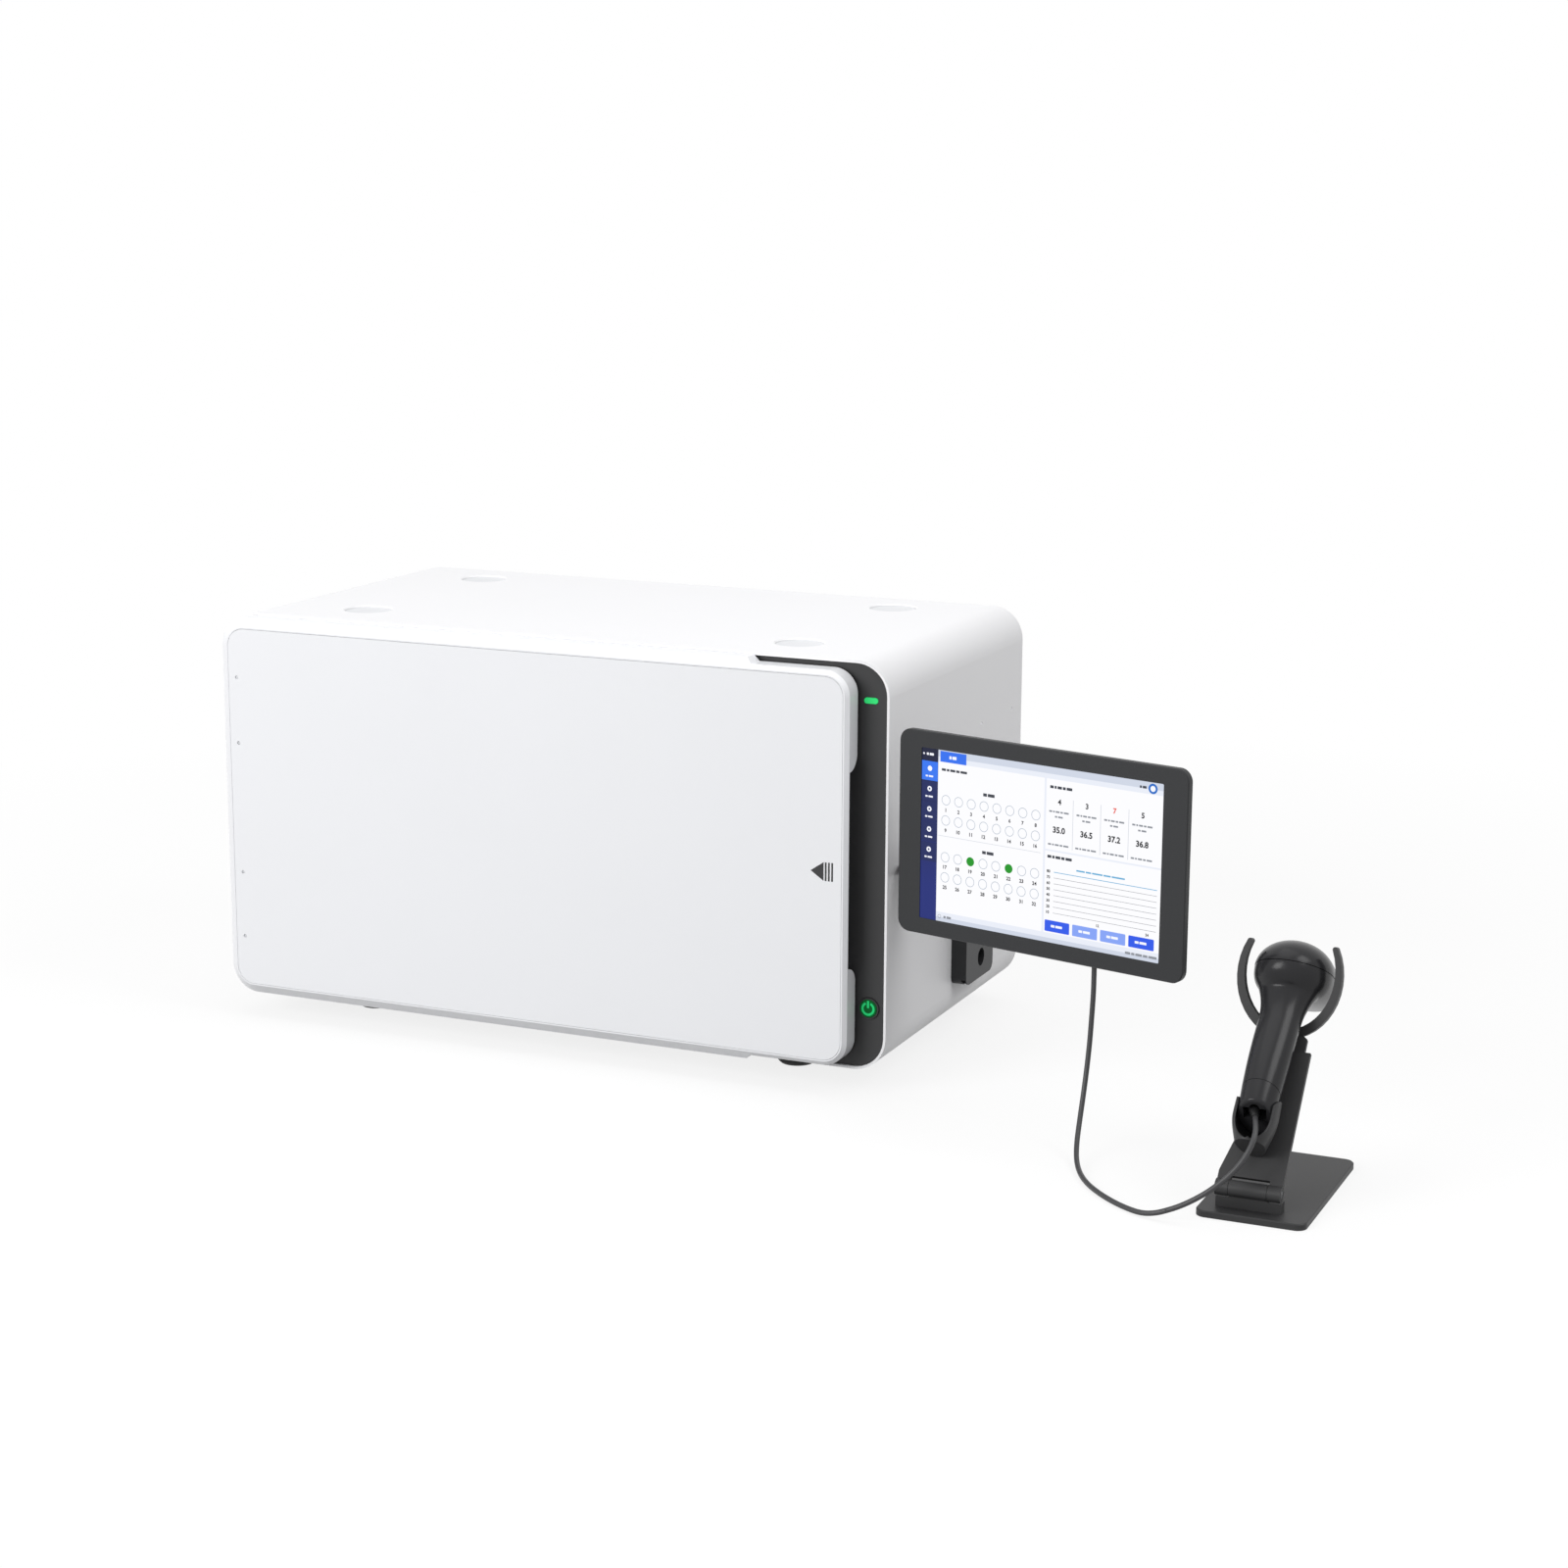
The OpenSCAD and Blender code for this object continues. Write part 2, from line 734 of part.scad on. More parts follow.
module rubber_feet() {
    color([0.07, 0.07, 0.07])
    placed()
    at_feet()
        difference() {
            union() {
                cylinder(h = 2, d1 = foot_d - 4, d2 = foot_d, $fn = fine);
                translate([0, 0, 2])
                    cylinder(h = foot_h - 2, d = foot_d, $fn = fine);
            }
            translate([0, 0, foot_h - 8])
                cylinder(h = 9, r = 2, $fn = fine);
        }
}

module status_lens() {
    color([0.12, 0.85, 0.45])
    placed()
    translate([led_x, 0, led_z])
        along_y(bezel_y - 0.4, bezel_y1 + 2)
            rrect(led_w, led_h, led_h / 2 - 0.1);
}

module button_ring() {
    color([0.2, 0.2, 0.2])
    placed()
    difference() {
        rod_y(bezel_y - 1.4, bezel_y, button_x, button_z, button_ring_d / 2 - 0.6, button_ring_d / 2);
        rod_y(bezel_y - 2, bezel_y1 + 2, button_x, button_z, button_d / 2 + 0.3, button_d / 2 + 0.3);
    }
}

module power_button() {
    color([0.1, 0.6, 0.33])
    placed() {
        rod_y(bezel_y - 2, bezel_y - 1.6, button_x, button_z, button_d / 2 - 0.4, button_d / 2);
        rod_y(bezel_y - 1.6, bezel_y1 + 6, button_x, button_z, button_d / 2, button_d / 2);
    }
}

// Fixed hinge arms reach from behind the front frame to an eye on the pin
module hinge_brackets() {
    color([0.6, 0.61, 0.62])
    placed()
    for (z = hinge_zs)
        difference() {
            union() {
                rod_z(z - eye_half, z + eye_half, axis_x, axis_y, hinge_knuckle_r);
                block([axis_x - 3.1, axis_y, z - eye_half],
                    [axis_x + 3.1, bezel_y1 + seat + 3, z + eye_half]);
                block([axis_x - 5, bezel_y1 + seat, z - 25], [axis_x + 20, bezel_y1 + seat + 3, z + 25]);
            }
            rod_z(z - eye_half - 1, z + eye_half + 1, axis_x, axis_y, pin_r);
        }
}

module hinge_pins() {
    color([0.75, 0.76, 0.77])
    placed()
    for (z = hinge_zs) {
        rod_z(z - eye_half - 14, z + eye_half + 14, axis_x, axis_y, pin_r);
        rod_z(z + eye_half + 14, z + eye_half + 15.5, axis_x, axis_y, 3.6);
    }
}

// Where the lip ends, its corners are cut at 45 degrees
module lip_zone() {
    half = door_h / 2 + lip_flare;
    translate([0, 0, mid_z])
        along_y(-1, door_t + 1)
            polygon([
                [-case_w, -half - 1], [lip_end - lip_flare - 1, -half - 1], [lip_end, -half + lip_flare],
                [lip_end, half - lip_flare], [lip_end - lip_flare - 1, half + 1], [-case_w, half + 1]
            ]);
}

// The grip widens to the back in round ends, which meet the back at a slight angle
module grip_cut() {
    x0 = face_right - grip_reach + bevel;
    arc_y = door_t + 0.5 - grip_r;
    reach = grip_h / 2 + grip_r;
    along_x(x0, face_right + bevel + 1)
        translate([0, grip_z])
            difference() {
                translate([grip_front, -reach])
                    square([door_t + 1 - grip_front, 2 * reach]);
                for (s = [-1, 1])
                    translate([arc_y, s * reach])
                        circle(r = grip_r, $fn = fine);
                for (s = [-1, 1])
                    translate([grip_front - 1, s * (grip_h + grip_r + 1) / 2 - (grip_r + 1) / 2])
                        square([arc_y - grip_front + 1, grip_r + 1]);
            }
}

module door_form() {
    translate([face_x, 0, mid_z]) {
        flare_plate(door_w, door_h, door_r, bevel, 0, bevel);
        along_y(bevel, door_t)
            rrect(door_w + 2 * bevel, door_h + 2 * bevel, door_r + bevel);
    }
    intersection() {
        translate([face_x, 0, mid_z]) {
            flare_plate(door_w, door_h, door_r, lip_flare, 0, lip_rise);
            along_y(lip_rise, door_t)
                rrect(door_w + 2 * lip_flare, door_h + 2 * lip_flare, door_r + lip_flare);
        }
        lip_zone();
    }
}

module pocket_shape(gap) {
    w = pocket_right - pocket_left - 2 * gap;
    translate([(pocket_left + pocket_right) / 2, mid_z])
        rrect(w, door_h - 4 - 2 * gap, 8);
}

module door_shell() {
    color([0.95, 0.95, 0.96])
    placed()
    difference() {
        door_form();
        translate([face_x, 0, mid_z])
            along_y(-1, panel_t + seat)
                rrect(door_w - 2 * panel_inset, door_h - 2 * panel_inset, door_r - panel_inset);
        along_y(shell_front, door_t + 1)
            pocket_shape(0);
        grip_cut();
        // Rear left edge rounded about the hinge axis
        difference() {
            block([axis_x - edge_r - 5, axis_y, case_z0 - 1], [axis_x, door_t + 1, case_z1 + 1]);
            rod_z(case_z0 - 2, case_z1 + 2, axis_x, axis_y, edge_r + 0.4);
        }
        for (z = hinge_zs) {
            block([axis_x - edge_r - 5, shell_front, z - leaf_half - 0.5],
                [pocket_left - 2, door_t + 1, z + leaf_half + 0.5]);
            for (s = [-1, 1])
                rod_y(-1, shell_front + 1, screw_x, z + s * hinge_screw_span / 2, 1.3, 1.3);
        }
    }
}

module door_panel() {
    color([0.94, 0.945, 0.955])
    placed()
    difference() {
        translate([face_x, 0, mid_z])
            along_y(0, panel_t)
                rrect(door_w - 2 * panel_inset - 2 * seat, door_h - 2 * panel_inset - 2 * seat,
                    door_r - panel_inset - seat);
        for (z = hinge_zs)
            for (s = [-1, 1])
                rod_y(-1, panel_t + 1, screw_x, z + s * hinge_screw_span / 2, 1.5, 1.5);
    }
}

module door_core() {
    color([0.92, 0.9, 0.82])
    placed()
    along_y(shell_front + seat, door_t - liner_plate_t - seat)
        pocket_shape(seat);
}

module door_liner() {
    color([0.92, 0.92, 0.93])
    placed()
    along_y(door_t - liner_plate_t, door_t)
        pocket_shape(seat);
}

module door_seal() {
    color([0.15, 0.15, 0.155])
    placed()
    translate([chamber_x, 0, mid_z])
        along_y(door_t, bezel_y - seat)
            difference() {
                rrect(chamber_w + 24, chamber_h + 24, 14);
                rrect(chamber_w + 10, chamber_h + 10, 8);
            }
}

// Door leaves: a plate in the shell's notch, two knuckles on the pin and two screws
module door_hinges() {
    color([0.62, 0.63, 0.64])
    placed()
    for (z = hinge_zs) {
        difference() {
            union() {
                for (s = [-1, 1])
                    rod_z(z + s * (eye_half + pass + knuckle_len / 2) - knuckle_len / 2,
                        z + s * (eye_half + pass + knuckle_len / 2) + knuckle_len / 2,
                        axis_x, axis_y, hinge_knuckle_r);
                difference() {
                    block([axis_x - 4, shell_front + seat, z - leaf_half],
                        [pocket_left - 2 - seat, shell_front + seat + leaf_t, z + leaf_half]);
                    block([axis_x - 5, shell_front, z - eye_half - pass],
                        [axis_x + 5.9, shell_front + seat + leaf_t + 1, z + eye_half + pass]);
                }
            }
            rod_z(z - leaf_half, z + leaf_half, axis_x, axis_y, pin_r + run_gap);
            for (s = [-1, 1])
                rod_y(shell_front, shell_front + 4, screw_x, z + s * hinge_screw_span / 2, 1.25, 1.25);
        }
        for (s = [-1, 1])
            rod_y(0.4, shell_front + seat + leaf_t + 0.5, screw_x, z + s * hinge_screw_span / 2, 1.2, 1.2);
    }
}

module door_magnets() {
    color([0.55, 0.55, 0.57])
    placed()
    for (z = catch_zs)
        translate([catch_x, 0, z])
            along_y(door_t, door_t + 2)
                rrect(22, 9, 2);
}

module rocker_shaft() {
    color([0.7, 0.71, 0.73])
    placed()
    rod_x(shaft_x0, shaft_x1, axis_rock_y, mid_z, shaft_r);
}

module at_rock() {
    translate([chamber_x, axis_rock_y, mid_z])
        children();
}

// End plates carry both racks on the shaft, with two tie bars behind the racks
module rocker_frame() {
    color([0.6, 0.61, 0.63])
    placed()
    at_rock()
    difference() {
        union() {
            for (s = [-1, 1]) {
                x = s * (rack_w / 2 + seat + plate_w / 2);
                along_x(x - plate_w / 2, x + plate_w / 2)
                    translate([(plate_y0 + plate_y1) / 2, 0])
                        rrect(plate_y1 - plate_y0, 2 * plate_z, 10);
                rod_x(x - (s > 0 ? 0 : 8), x + (s > 0 ? 8 : 0), 0, 0, shaft_r + 6);
            }
            for (s = [-1, 1])
                along_x(-rack_w / 2 - seat, rack_w / 2 + seat)
                    translate([plate_y1 - tie / 2 - 1, s * (plate_z - 14)])
                        square([tie, 14], center = true);
        }
        rod_x(-rack_w, rack_w, 0, 0, shaft_r);
        for (s = [-1, 1])
            for (t = [-1, 1])
                rod_x(s * (rack_w / 2 + 2) - 4, s * (rack_w / 2 + 2) + 4, 5, t * 58, 16);
    }
}

function well_x(i) = (i - (well_cols - 1) / 2) * well_pitch;

// One row of a rack: a bar of round wells with a lead-in, and a light pipe beside each
module rack_row(s) {
    row_h = (rack_h - seat) / 2;
    difference() {
        translate([0, 0, s * (rack_h - row_h) / 2])
            along_y(rack_front, rack_front + rack_d)
                rrect(rack_w, row_h, 5);
        for (i = [0 : well_cols - 1]) {
            rod_y(rack_front - 1, rack_front + well_depth, well_x(i), s * row_pitch / 2, well_r, well_r);
            rod_y(rack_front - 0.01, rack_front + 2, well_x(i), s * row_pitch / 2, well_r + 2, well_r);
            rod_y(rack_front - 1, rack_front + light_len, well_x(i) + well_pitch / 2,
                s * row_pitch / 2 + light_up, light_r, light_r);
        }
    }
}

// A rack is two rows that the end plates hold together
module rack(z) {
    at_rock()
    translate([0, 0, z])
        for (s = [-1, 1])
            rack_row(s);
}

module rack_upper() {
    color([0.9, 0.91, 0.92])
    placed()
    rack(rack_mid);
}

module rack_lower() {
    color([0.9, 0.91, 0.92])
    placed()
    rack(-rack_mid);
}

module well_lights() {
    color([0.8, 0.95, 0.85])
    placed()
    at_rock()
    for (z = [-rack_mid, rack_mid])
        for (i = [0 : well_cols - 1])
            for (s = [-1, 1])
                translate([0, 0, z])
                    rod_y(rack_front - 0.4, rack_front + light_len, well_x(i) + well_pitch / 2,
                        s * row_pitch / 2 + light_up, light_r - 0.1, light_r - 0.1);
}

module sensor_boards() {
    y0 = rack_front + rack_d + seat;
    color([0.05, 0.35, 0.2])
    placed()
    at_rock()
    for (z = [-rack_mid, rack_mid])
        translate([0, 0, z])
            along_y(y0, y0 + board_t)
                rrect(rack_w - 8, rack_h - 6, 3);
}

// A sealed vial in the last well of each rack checks the temperature
module reference_vials() {
    y0 = rack_front + well_depth;
    color([0.75, 0.8, 0.86])
    placed()
    at_rock()
    for (z = [-rack_mid, rack_mid])
        translate([0, 0, z]) {
            rod_y(y0 - vial_len + 8, y0 - seat, well_x(well_cols - 1), -row_pitch / 2,
                well_r - 0.6, well_r - 0.6);
            rod_y(y0 - vial_len, y0 - vial_len + 8, well_x(well_cols - 1), -row_pitch / 2,
                well_r - 3, well_r - 0.6);
        }
}

// Involute gear geometry
function inv(a) = tan(a) * 180 / PI - a;
function flank_angle(r, z, rho) =
    90 / z - backlash / r * 180 / PI + inv(pressure) - inv(acos(min(1, r * cos(pressure) / rho)));

// One tooth of a gear with pitch radius r and z teeth, pointing along +x
module tooth(r, z) {
    rb = r * cos(pressure);
    root = r - 1.25 * gear_m - 0.5;
    tip = r + gear_m;
    start = max(rb, root + 0.6);
    rs = [for (k = [0 : 5]) start + (tip - start) * k / 5];
    side = [for (q = rs) [q, flank_angle(r, z, q)]];
    base = [root, flank_angle(r, z, start)];
    low = concat([base], side);
    polygon(concat(
        [for (p = low) p[0] * [cos(-p[1]), sin(-p[1])]],
        [for (k = [len(low) - 1 : -1 : 0]) low[k][0] * [cos(low[k][1]), sin(low[k][1])]]
    ));
}

module sector_gear() {
    root = pitch_sector - 1.25 * gear_m;
    count = floor(sector_half * sector_teeth / 360) - 1;
    color([0.72, 0.62, 0.32])
    placed()
    translate([gear_x, axis_rock_y, mid_z])
    difference() {
        union() {
            along_x(0, gear_w) {
                intersection() {
                    circle(r = root, $fn = 128);
                    polygon([[0, 12],
                        [-pitch_sector * 1.4 * sin(sector_half), -pitch_sector * 1.4 * cos(sector_half)],
                        [pitch_sector * 1.4 * sin(sector_half), -pitch_sector * 1.4 * cos(sector_half)]]);
                }
                for (k = [-count : count])
                    rotate(-90 + k * 360 / sector_teeth)
                        tooth(pitch_sector, sector_teeth);
            }
            rod_x(-2, gear_w + 2, 0, 0, shaft_r + 8);
        }
        rod_x(-3, gear_w + 3, 0, 0, shaft_r + run_gap);
        for (s = [-1, 0, 1])
            rod_x(-1, gear_w + 1, -sin(18 * s) * 34, -cos(18 * s) * 34, 5);
    }
}

module drive_pinion() {
    root = pitch_pinion - 1.25 * gear_m;
    color([0.75, 0.76, 0.78])
    placed()
    translate([gear_x, axis_rock_y, pinion_z]) {
        along_x(-0.5, gear_w + 0.5) {
            circle(r = root, $fn = fine);
            for (k = [0 : pinion_teeth - 1])
                rotate(90 + (k + 0.5) * 360 / pinion_teeth)
                    tooth(pitch_pinion, pinion_teeth);
        }
        rod_x(gear_w + 0.4, motor_x - gear_x + 3 + 18, 0, 0, motor_shaft_r);
    }
}

module shaft_bearings() {
    color([0.5, 0.51, 0.52])
    placed()
    for (s = [-1, 1]) {
        x = s < 0 ? chamber_x0 - liner_t - seat : chamber_x1 + liner_t + seat;
        difference() {
            union() {
                rod_x(min(x, x + s * bearing_t), max(x, x + s * bearing_t), axis_rock_y, mid_z, 13);
                along_x(min(x, x + s * 3), max(x, x + s * 3))
                    translate([axis_rock_y, mid_z])
                        rrect(30, 30, 5);
            }
            rod_x(x - 20, x + 20, axis_rock_y, mid_z, shaft_r + run_gap);
        }
    }
}

// Upright plate from the case floor that carries the geared motor
module motor_bracket() {
    z0 = case_z0 + case_t + seat;
    color([0.55, 0.56, 0.58])
    placed()
    difference() {
        union() {
            block([motor_x, axis_rock_y - 26, z0], [motor_x + 3, axis_rock_y + 26, pinion_z + 26]);
            block([motor_x, axis_rock_y - 26, z0], [motor_x + 40, axis_rock_y + 26, z0 + 3]);
        }
        rod_x(motor_x - 1, motor_x + 4, axis_rock_y, pinion_z, 8);
    }
}

module drive_motor() {
    x0 = motor_x + 3 + seat;
    color([0.35, 0.35, 0.37])
    placed()
    difference() {
        union() {
            rod_x(x0, x0 + 22, axis_rock_y, pinion_z, motor_r);
            rod_x(x0 + 22, x0 + motor_len, axis_rock_y, pinion_z, motor_r - 2);
            rod_x(motor_x, x0, axis_rock_y, pinion_z, 7.5);
        }
        rod_x(motor_x - 1, x0 + 20, axis_rock_y, pinion_z, motor_shaft_r + run_gap);
    }
}

module fan_housing() {
    color([0.13, 0.13, 0.135])
    placed()
    translate([chamber_x, 0, mid_z]) {
        difference() {
            along_y(fan_y0, fan_y0 + fan_t)
                rrect(fan_box, fan_box, 4);
            rod_y(fan_y0 - 1, fan_y0 + fan_t + 1, 0, 0, fan_r, fan_r);
        }
        rod_y(fan_y0 + fan_t - 4, fan_y0 + fan_t, 0, 0, 15, 15);
        for (a = [45 : 90 : 315])
            rotate([0, a, 0])
                block([14, fan_y0 + fan_t - 3, -2], [fan_r + 1, fan_y0 + fan_t, 2]);
        rod_y(fan_y0 + 8, fan_y0 + fan_t - 3.9, 0, 0, 2, 2);
    }
}

module fan_rotor() {
    y0 = fan_y0 + 3;
    y1 = fan_y0 + fan_t - 4.5;
    color([0.2, 0.2, 0.21])
    placed()
    translate([chamber_x, 0, mid_z])
    difference() {
        union() {
            rod_y(y0, y1, 0, 0, 15.5, 15.5);
            for (a = [0 : 51.43 : 310])
                rotate([0, a, 0])
                    translate([25, (y0 + y1) / 2, 0])
                        rotate([38, 0, 0])
                            block([-11, -8, -0.9], [11, 8, 0.9]);
        }
        rod_y(fan_y0 + 6, y1 + 1, 0, 0, 2 + run_gap, 2 + run_gap);
    }
}

module fan_guard() {
    color([0.75, 0.76, 0.77])
    placed()
    translate([chamber_x, 0, mid_z]) {
        for (r = [8 : 9 : 35])
            along_y(chamber_y1 - 2, chamber_y1 - 0.4)
                difference() {
                    circle(r = r + 0.8, $fn = fine);
                    circle(r = r - 0.8, $fn = fine);
                }
        along_y(chamber_y1 - 2, chamber_y1 - 0.4)
            for (a = [0, 90])
                rotate(a + 45)
                    square([96, 2.4], center = true);
    }
}

module heater() {
    y0 = fan_y0 + fan_t + seat;
    color([0.8, 0.8, 0.8])
    placed()
    translate([chamber_x, 0, mid_z]) {
        for (s = [-1, 1])
            block([-36, y0, s * 34 - 3], [36, y0 + 14, s * 34 + 3]);
        for (i = [-5 : 5])
            block([i * 6.6 - 0.5, y0, -31], [i * 6.6 + 0.5, y0 + 14, 31]);
    }
}

module power_supply() {
    y1 = rear_y - rear_t - 8;
    z0 = case_z0 + case_t + seat;
    color([0.7, 0.71, 0.72])
    placed()
    difference() {
        block([supply_x, y1 - supply_d, z0], [supply_x + supply_w, y1, z0 + supply_h]);
        for (i = [0 : 8])
            block([supply_x + 10 + 12 * i, y1 - supply_d + 8, z0 + supply_h - 2],
                [supply_x + 14 + 12 * i, y1 - 12, z0 + supply_h + 1]);
    }
}

module main_board() {
    y0 = rear_y - rear_t - seat - standoff;
    color([0.04, 0.32, 0.18])
    placed()
    translate([board_x, 0, mid_z]) {
        along_y(y0 - board_t, y0)
            rrect(board_w, board_h, 4);
        for (sx = [-1, 1])
            for (sz = [-1, 1])
                rod_y(y0, y0 + standoff, sx * (board_w / 2 - 8), sz * (board_h / 2 - 8), 3, 3);
        block([-50, y0 - board_t - 8, -20], [-10, y0 - board_t, 20]);
        block([20, y0 - board_t - 12, -50], [70, y0 - board_t, -30]);
    }
}

// Block on the case side with the arm's socket hole
module arm_block() {
    x0 = case_w / 2;
    color([0.2, 0.2, 0.205])
    placed()
    difference() {
        along_x(x0, x0 + block_t)
            translate([(block_y0 + block_y1) / 2, (block_z0 + arm_z) / 2])
                rrect(block_d, arm_z - block_z0, 8);
        rod_x(x0 + 3.5, x0 + block_t + 1, socket_y, socket_z, socket_r);
        block([x0 + block_t - 4.5, block_y0 - 1, block_z0 - 1],
            [x0 + block_t - 1, block_y0 + 9, block_z0 + 5]);
    }
}

// Fixed bent arm: along the case side to the elbow, then across to the swivel post
module arm_plate() {
    run = [swivel_x - arm_x, swivel_y - elbow_y];
    color([0.22, 0.22, 0.225])
    placed()
    translate([0, 0, arm_z])
    difference() {
        linear_extrude(arm_t) {
            translate([arm_x, elbow_y])
                circle(r = arm_half, $fn = fine);
            translate([arm_x - arm_half, elbow_y])
                square([2 * arm_half, block_y1 - elbow_y]);
            translate([arm_x, elbow_y])
                rotate(atan2(run[1], run[0]))
                    translate([0, -arm_half])
                        square([norm(run), 2 * arm_half]);
            translate([swivel_x, swivel_y])
                circle(r = arm_half + 1, $fn = fine);
        }
        translate([arm_x, elbow_y + 60, -1])
            linear_extrude(arm_t + 2)
                translate([0, 25])
                    rrect(8, 70, 3.9);
    }
}

module arm_post() {
    z0 = arm_z + arm_t;
    color([0.3, 0.3, 0.31])
    placed() {
        rod_z(z0, z0 + 4, swivel_x, swivel_y, 12);
        rod_z(z0 + 4, shoulder_z - seat, swivel_x, swivel_y, post_r + post_rim);
        rod_z(shoulder_z - seat, post_top, swivel_x, swivel_y, post_r);
        translate([swivel_x, swivel_y, post_top])
            cylinder(h = 4, r1 = post_r + post_rim, r2 = post_r + 0.4, $fn = fine);
    }
}

module at_monitor() {
    translate([mon_x, mon_y, 0])
        rotate([0, 0, -monitor_yaw])
            children();
}

module monitor_frame() {
    color([0.24, 0.24, 0.25])
    placed()
    at_monitor()
    translate([0, 0, monitor_z])
    difference() {
        union() {
            flare_plate(monitor_w - 1.6, monitor_h - 1.6, monitor_r - 0.8, 0.8, 0, 0.8);
            along_y(0.8, monitor_t)
                rrect(monitor_w, monitor_h, monitor_r);
        }
        along_y(-1, monitor_t + 1)
            rrect(screen_w, screen_h, 1);
    }
}

module monitor_screen() {
    color([0.75, 0.85, 0.98])
    placed()
    at_monitor()
    translate([0, 0, monitor_z])
        along_y(0.6, monitor_t)
            rrect(screen_w - 0.4, screen_h - 0.4, 0.8);
}

module monitor_back() {
    y0 = monitor_t;
    color([0.2, 0.2, 0.21])
    placed()
    at_monitor()
    difference() {
        union() {
            translate([0, 0, monitor_z])
                along_y(y0, y0 + back_t)
                    rrect(monitor_w - 2, monitor_h - 2, monitor_r - 1);
            translate([0, 0, box_mid]) {
                along_y(y0 + back_t / 2, monitor_full_t - 3)
                    rrect(box_w, box_h, 9);
                mirror([0, 1, 0])
                    flare_plate(box_w - 6, box_h - 6, 6, 3, -monitor_full_t, -monitor_full_t + 3);
            }
        }
        for (i = [0 : 11])
            for (s = [-1, 1])
                translate([s * 60 + (i - 5.5) * 4, 0, box_mid + box_h / 2 - 14])
                    along_y(monitor_full_t - 1.5, monitor_full_t + 1)
                        rrect(1.6, 14, 0.7);
    }
}

// Rear plate with two collars that turn on the arm's post
module monitor_bracket() {
    y0 = monitor_full_t;
    color([0.25, 0.25, 0.26])
    placed()
    at_monitor()
    difference() {
        union() {
            translate([0, 0, box_mid])
                along_y(y0, y0 + vesa_t)
                    rrect(vesa_w, vesa_w, 6);
            for (z = [shoulder_z, post_top - seat - collar_h]) {
                rod_z(z, z + collar_h, 0, swivel_back, post_r + 4);
                block([-post_r - 4, y0, z], [post_r + 4, swivel_back, z + collar_h]);
            }
        }
        rod_z(shoulder_z - 5, post_top + 5, 0, swivel_back, post_r + run_gap);
        for (sx = [-1, 1])
            for (sz = [-1, 1])
                rod_y(y0 - 1, y0 + vesa_t + 1, sx * vesa / 2, box_mid + sz * vesa / 2, 2.2, 2.2);
    }
}

// Cable plug and its strain relief under the monitor's rear housing
module scanner_plug() {
    z0 = bench_route[0][2];
    color([0.15, 0.15, 0.155])
    placed()
    at_monitor()
    translate([plug_s, plug_d, 0]) {
        translate([0, 0, box_z0 - 26])
            linear_extrude(26 - seat)
                rrect(13, 7, 1.6);
        translate([0, 0, z0 + 8])
            cylinder(h = box_z0 - 26 - z0 - 8, r1 = cord_r + 0.8, r2 = 3.4, $fn = fine);
        translate([0, 0, z0])
            cylinder(h = 8, r = cord_r + 0.8, $fn = fine);
    }
}

module at_stand() {
    translate([post_x, tilt_y, tilt_z])
        children();
}

// The post's own frame: z up along the post, y square to it and away from the front
module along_post() {
    at_stand()
        rotate([lean - 90, 0, 0])
            children();
}

// Base plate with a raised lug that the post's hinge turns on
module stand_base() {
    block_top = tilt_z - knuckle_r - 0.8;
    color([0.27, 0.27, 0.275])
    placed()
    difference() {
        union() {
            translate([stand_x, base_d / 2 - base_fwd, 0]) {
                linear_extrude(base_t - 0.8)
                    rrect(base_w, base_d, 8);
                translate([0, 0, base_t])
                    rotate([-90, 0, 0])
                        flare_plate(base_w - 1.6, base_d - 1.6, 7.2, 0.8, 0, 0.8);
            }
            at_stand() {
                block([-post_w / 2, -1, base_t - tilt_z - 0.1], [post_w / 2, 9, block_top - tilt_z]);
                block([-middle_half, -1, base_t - tilt_z], [middle_half, knuckle_r, 0]);
                rod_x(-middle_half, middle_half, 0, 0, knuckle_r);
            }
        }
        at_stand()
            rod_x(-post_w, post_w, 0, 0, tilt_pin_r);
    }
}

module stand_pin() {
    color([0.6, 0.6, 0.61])
    placed()
    at_stand()
        rod_x(-post_w / 2, post_w / 2, 0, 0, tilt_pin_r);
}

module stand_post() {
    color([0.25, 0.25, 0.255])
    placed()
    along_post()
    difference() {
        union() {
            along_y(-post_t / 2, post_t / 2)
                polygon([[-post_w / 2, 4.5], [-post_w / 2, 12], [post_notch - post_w / 2, 42],
                    [post_notch - post_w / 2, post_len], [post_w / 2, post_len], [post_w / 2, 4.5]]);
            for (s = [-1, 1])
                rod_x(s * (post_w / 2 - knuckle_w / 2) - knuckle_w / 2,
                    s * (post_w / 2 - knuckle_w / 2) + knuckle_w / 2, 0, 0, knuckle_r);
        }
        block([-middle_half - seat, -knuckle_r - 1, -knuckle_r - 1],
            [middle_half + seat, knuckle_r + 1, knuckle_r + 2.5]);
        rod_x(-post_w, post_w, 0, 0, tilt_pin_r + run_gap);
    }
}

// Half of the fork's crescent at an angle from its foot, set in by a share of its thickness
crescent_end = 121;
crescent_steps = 14;
crescent_mid = fork_rise / (1 - cos(crescent_end));
function crescent_t(a) = fork_band * (1 - 0.45 * pow(a / crescent_end, 2));
function crescent(a, inset) =
    let (t = inset * crescent_t(a))
    [(fork_half - t) * sin(a), crescent_mid - (crescent_mid - t) * cos(a)];

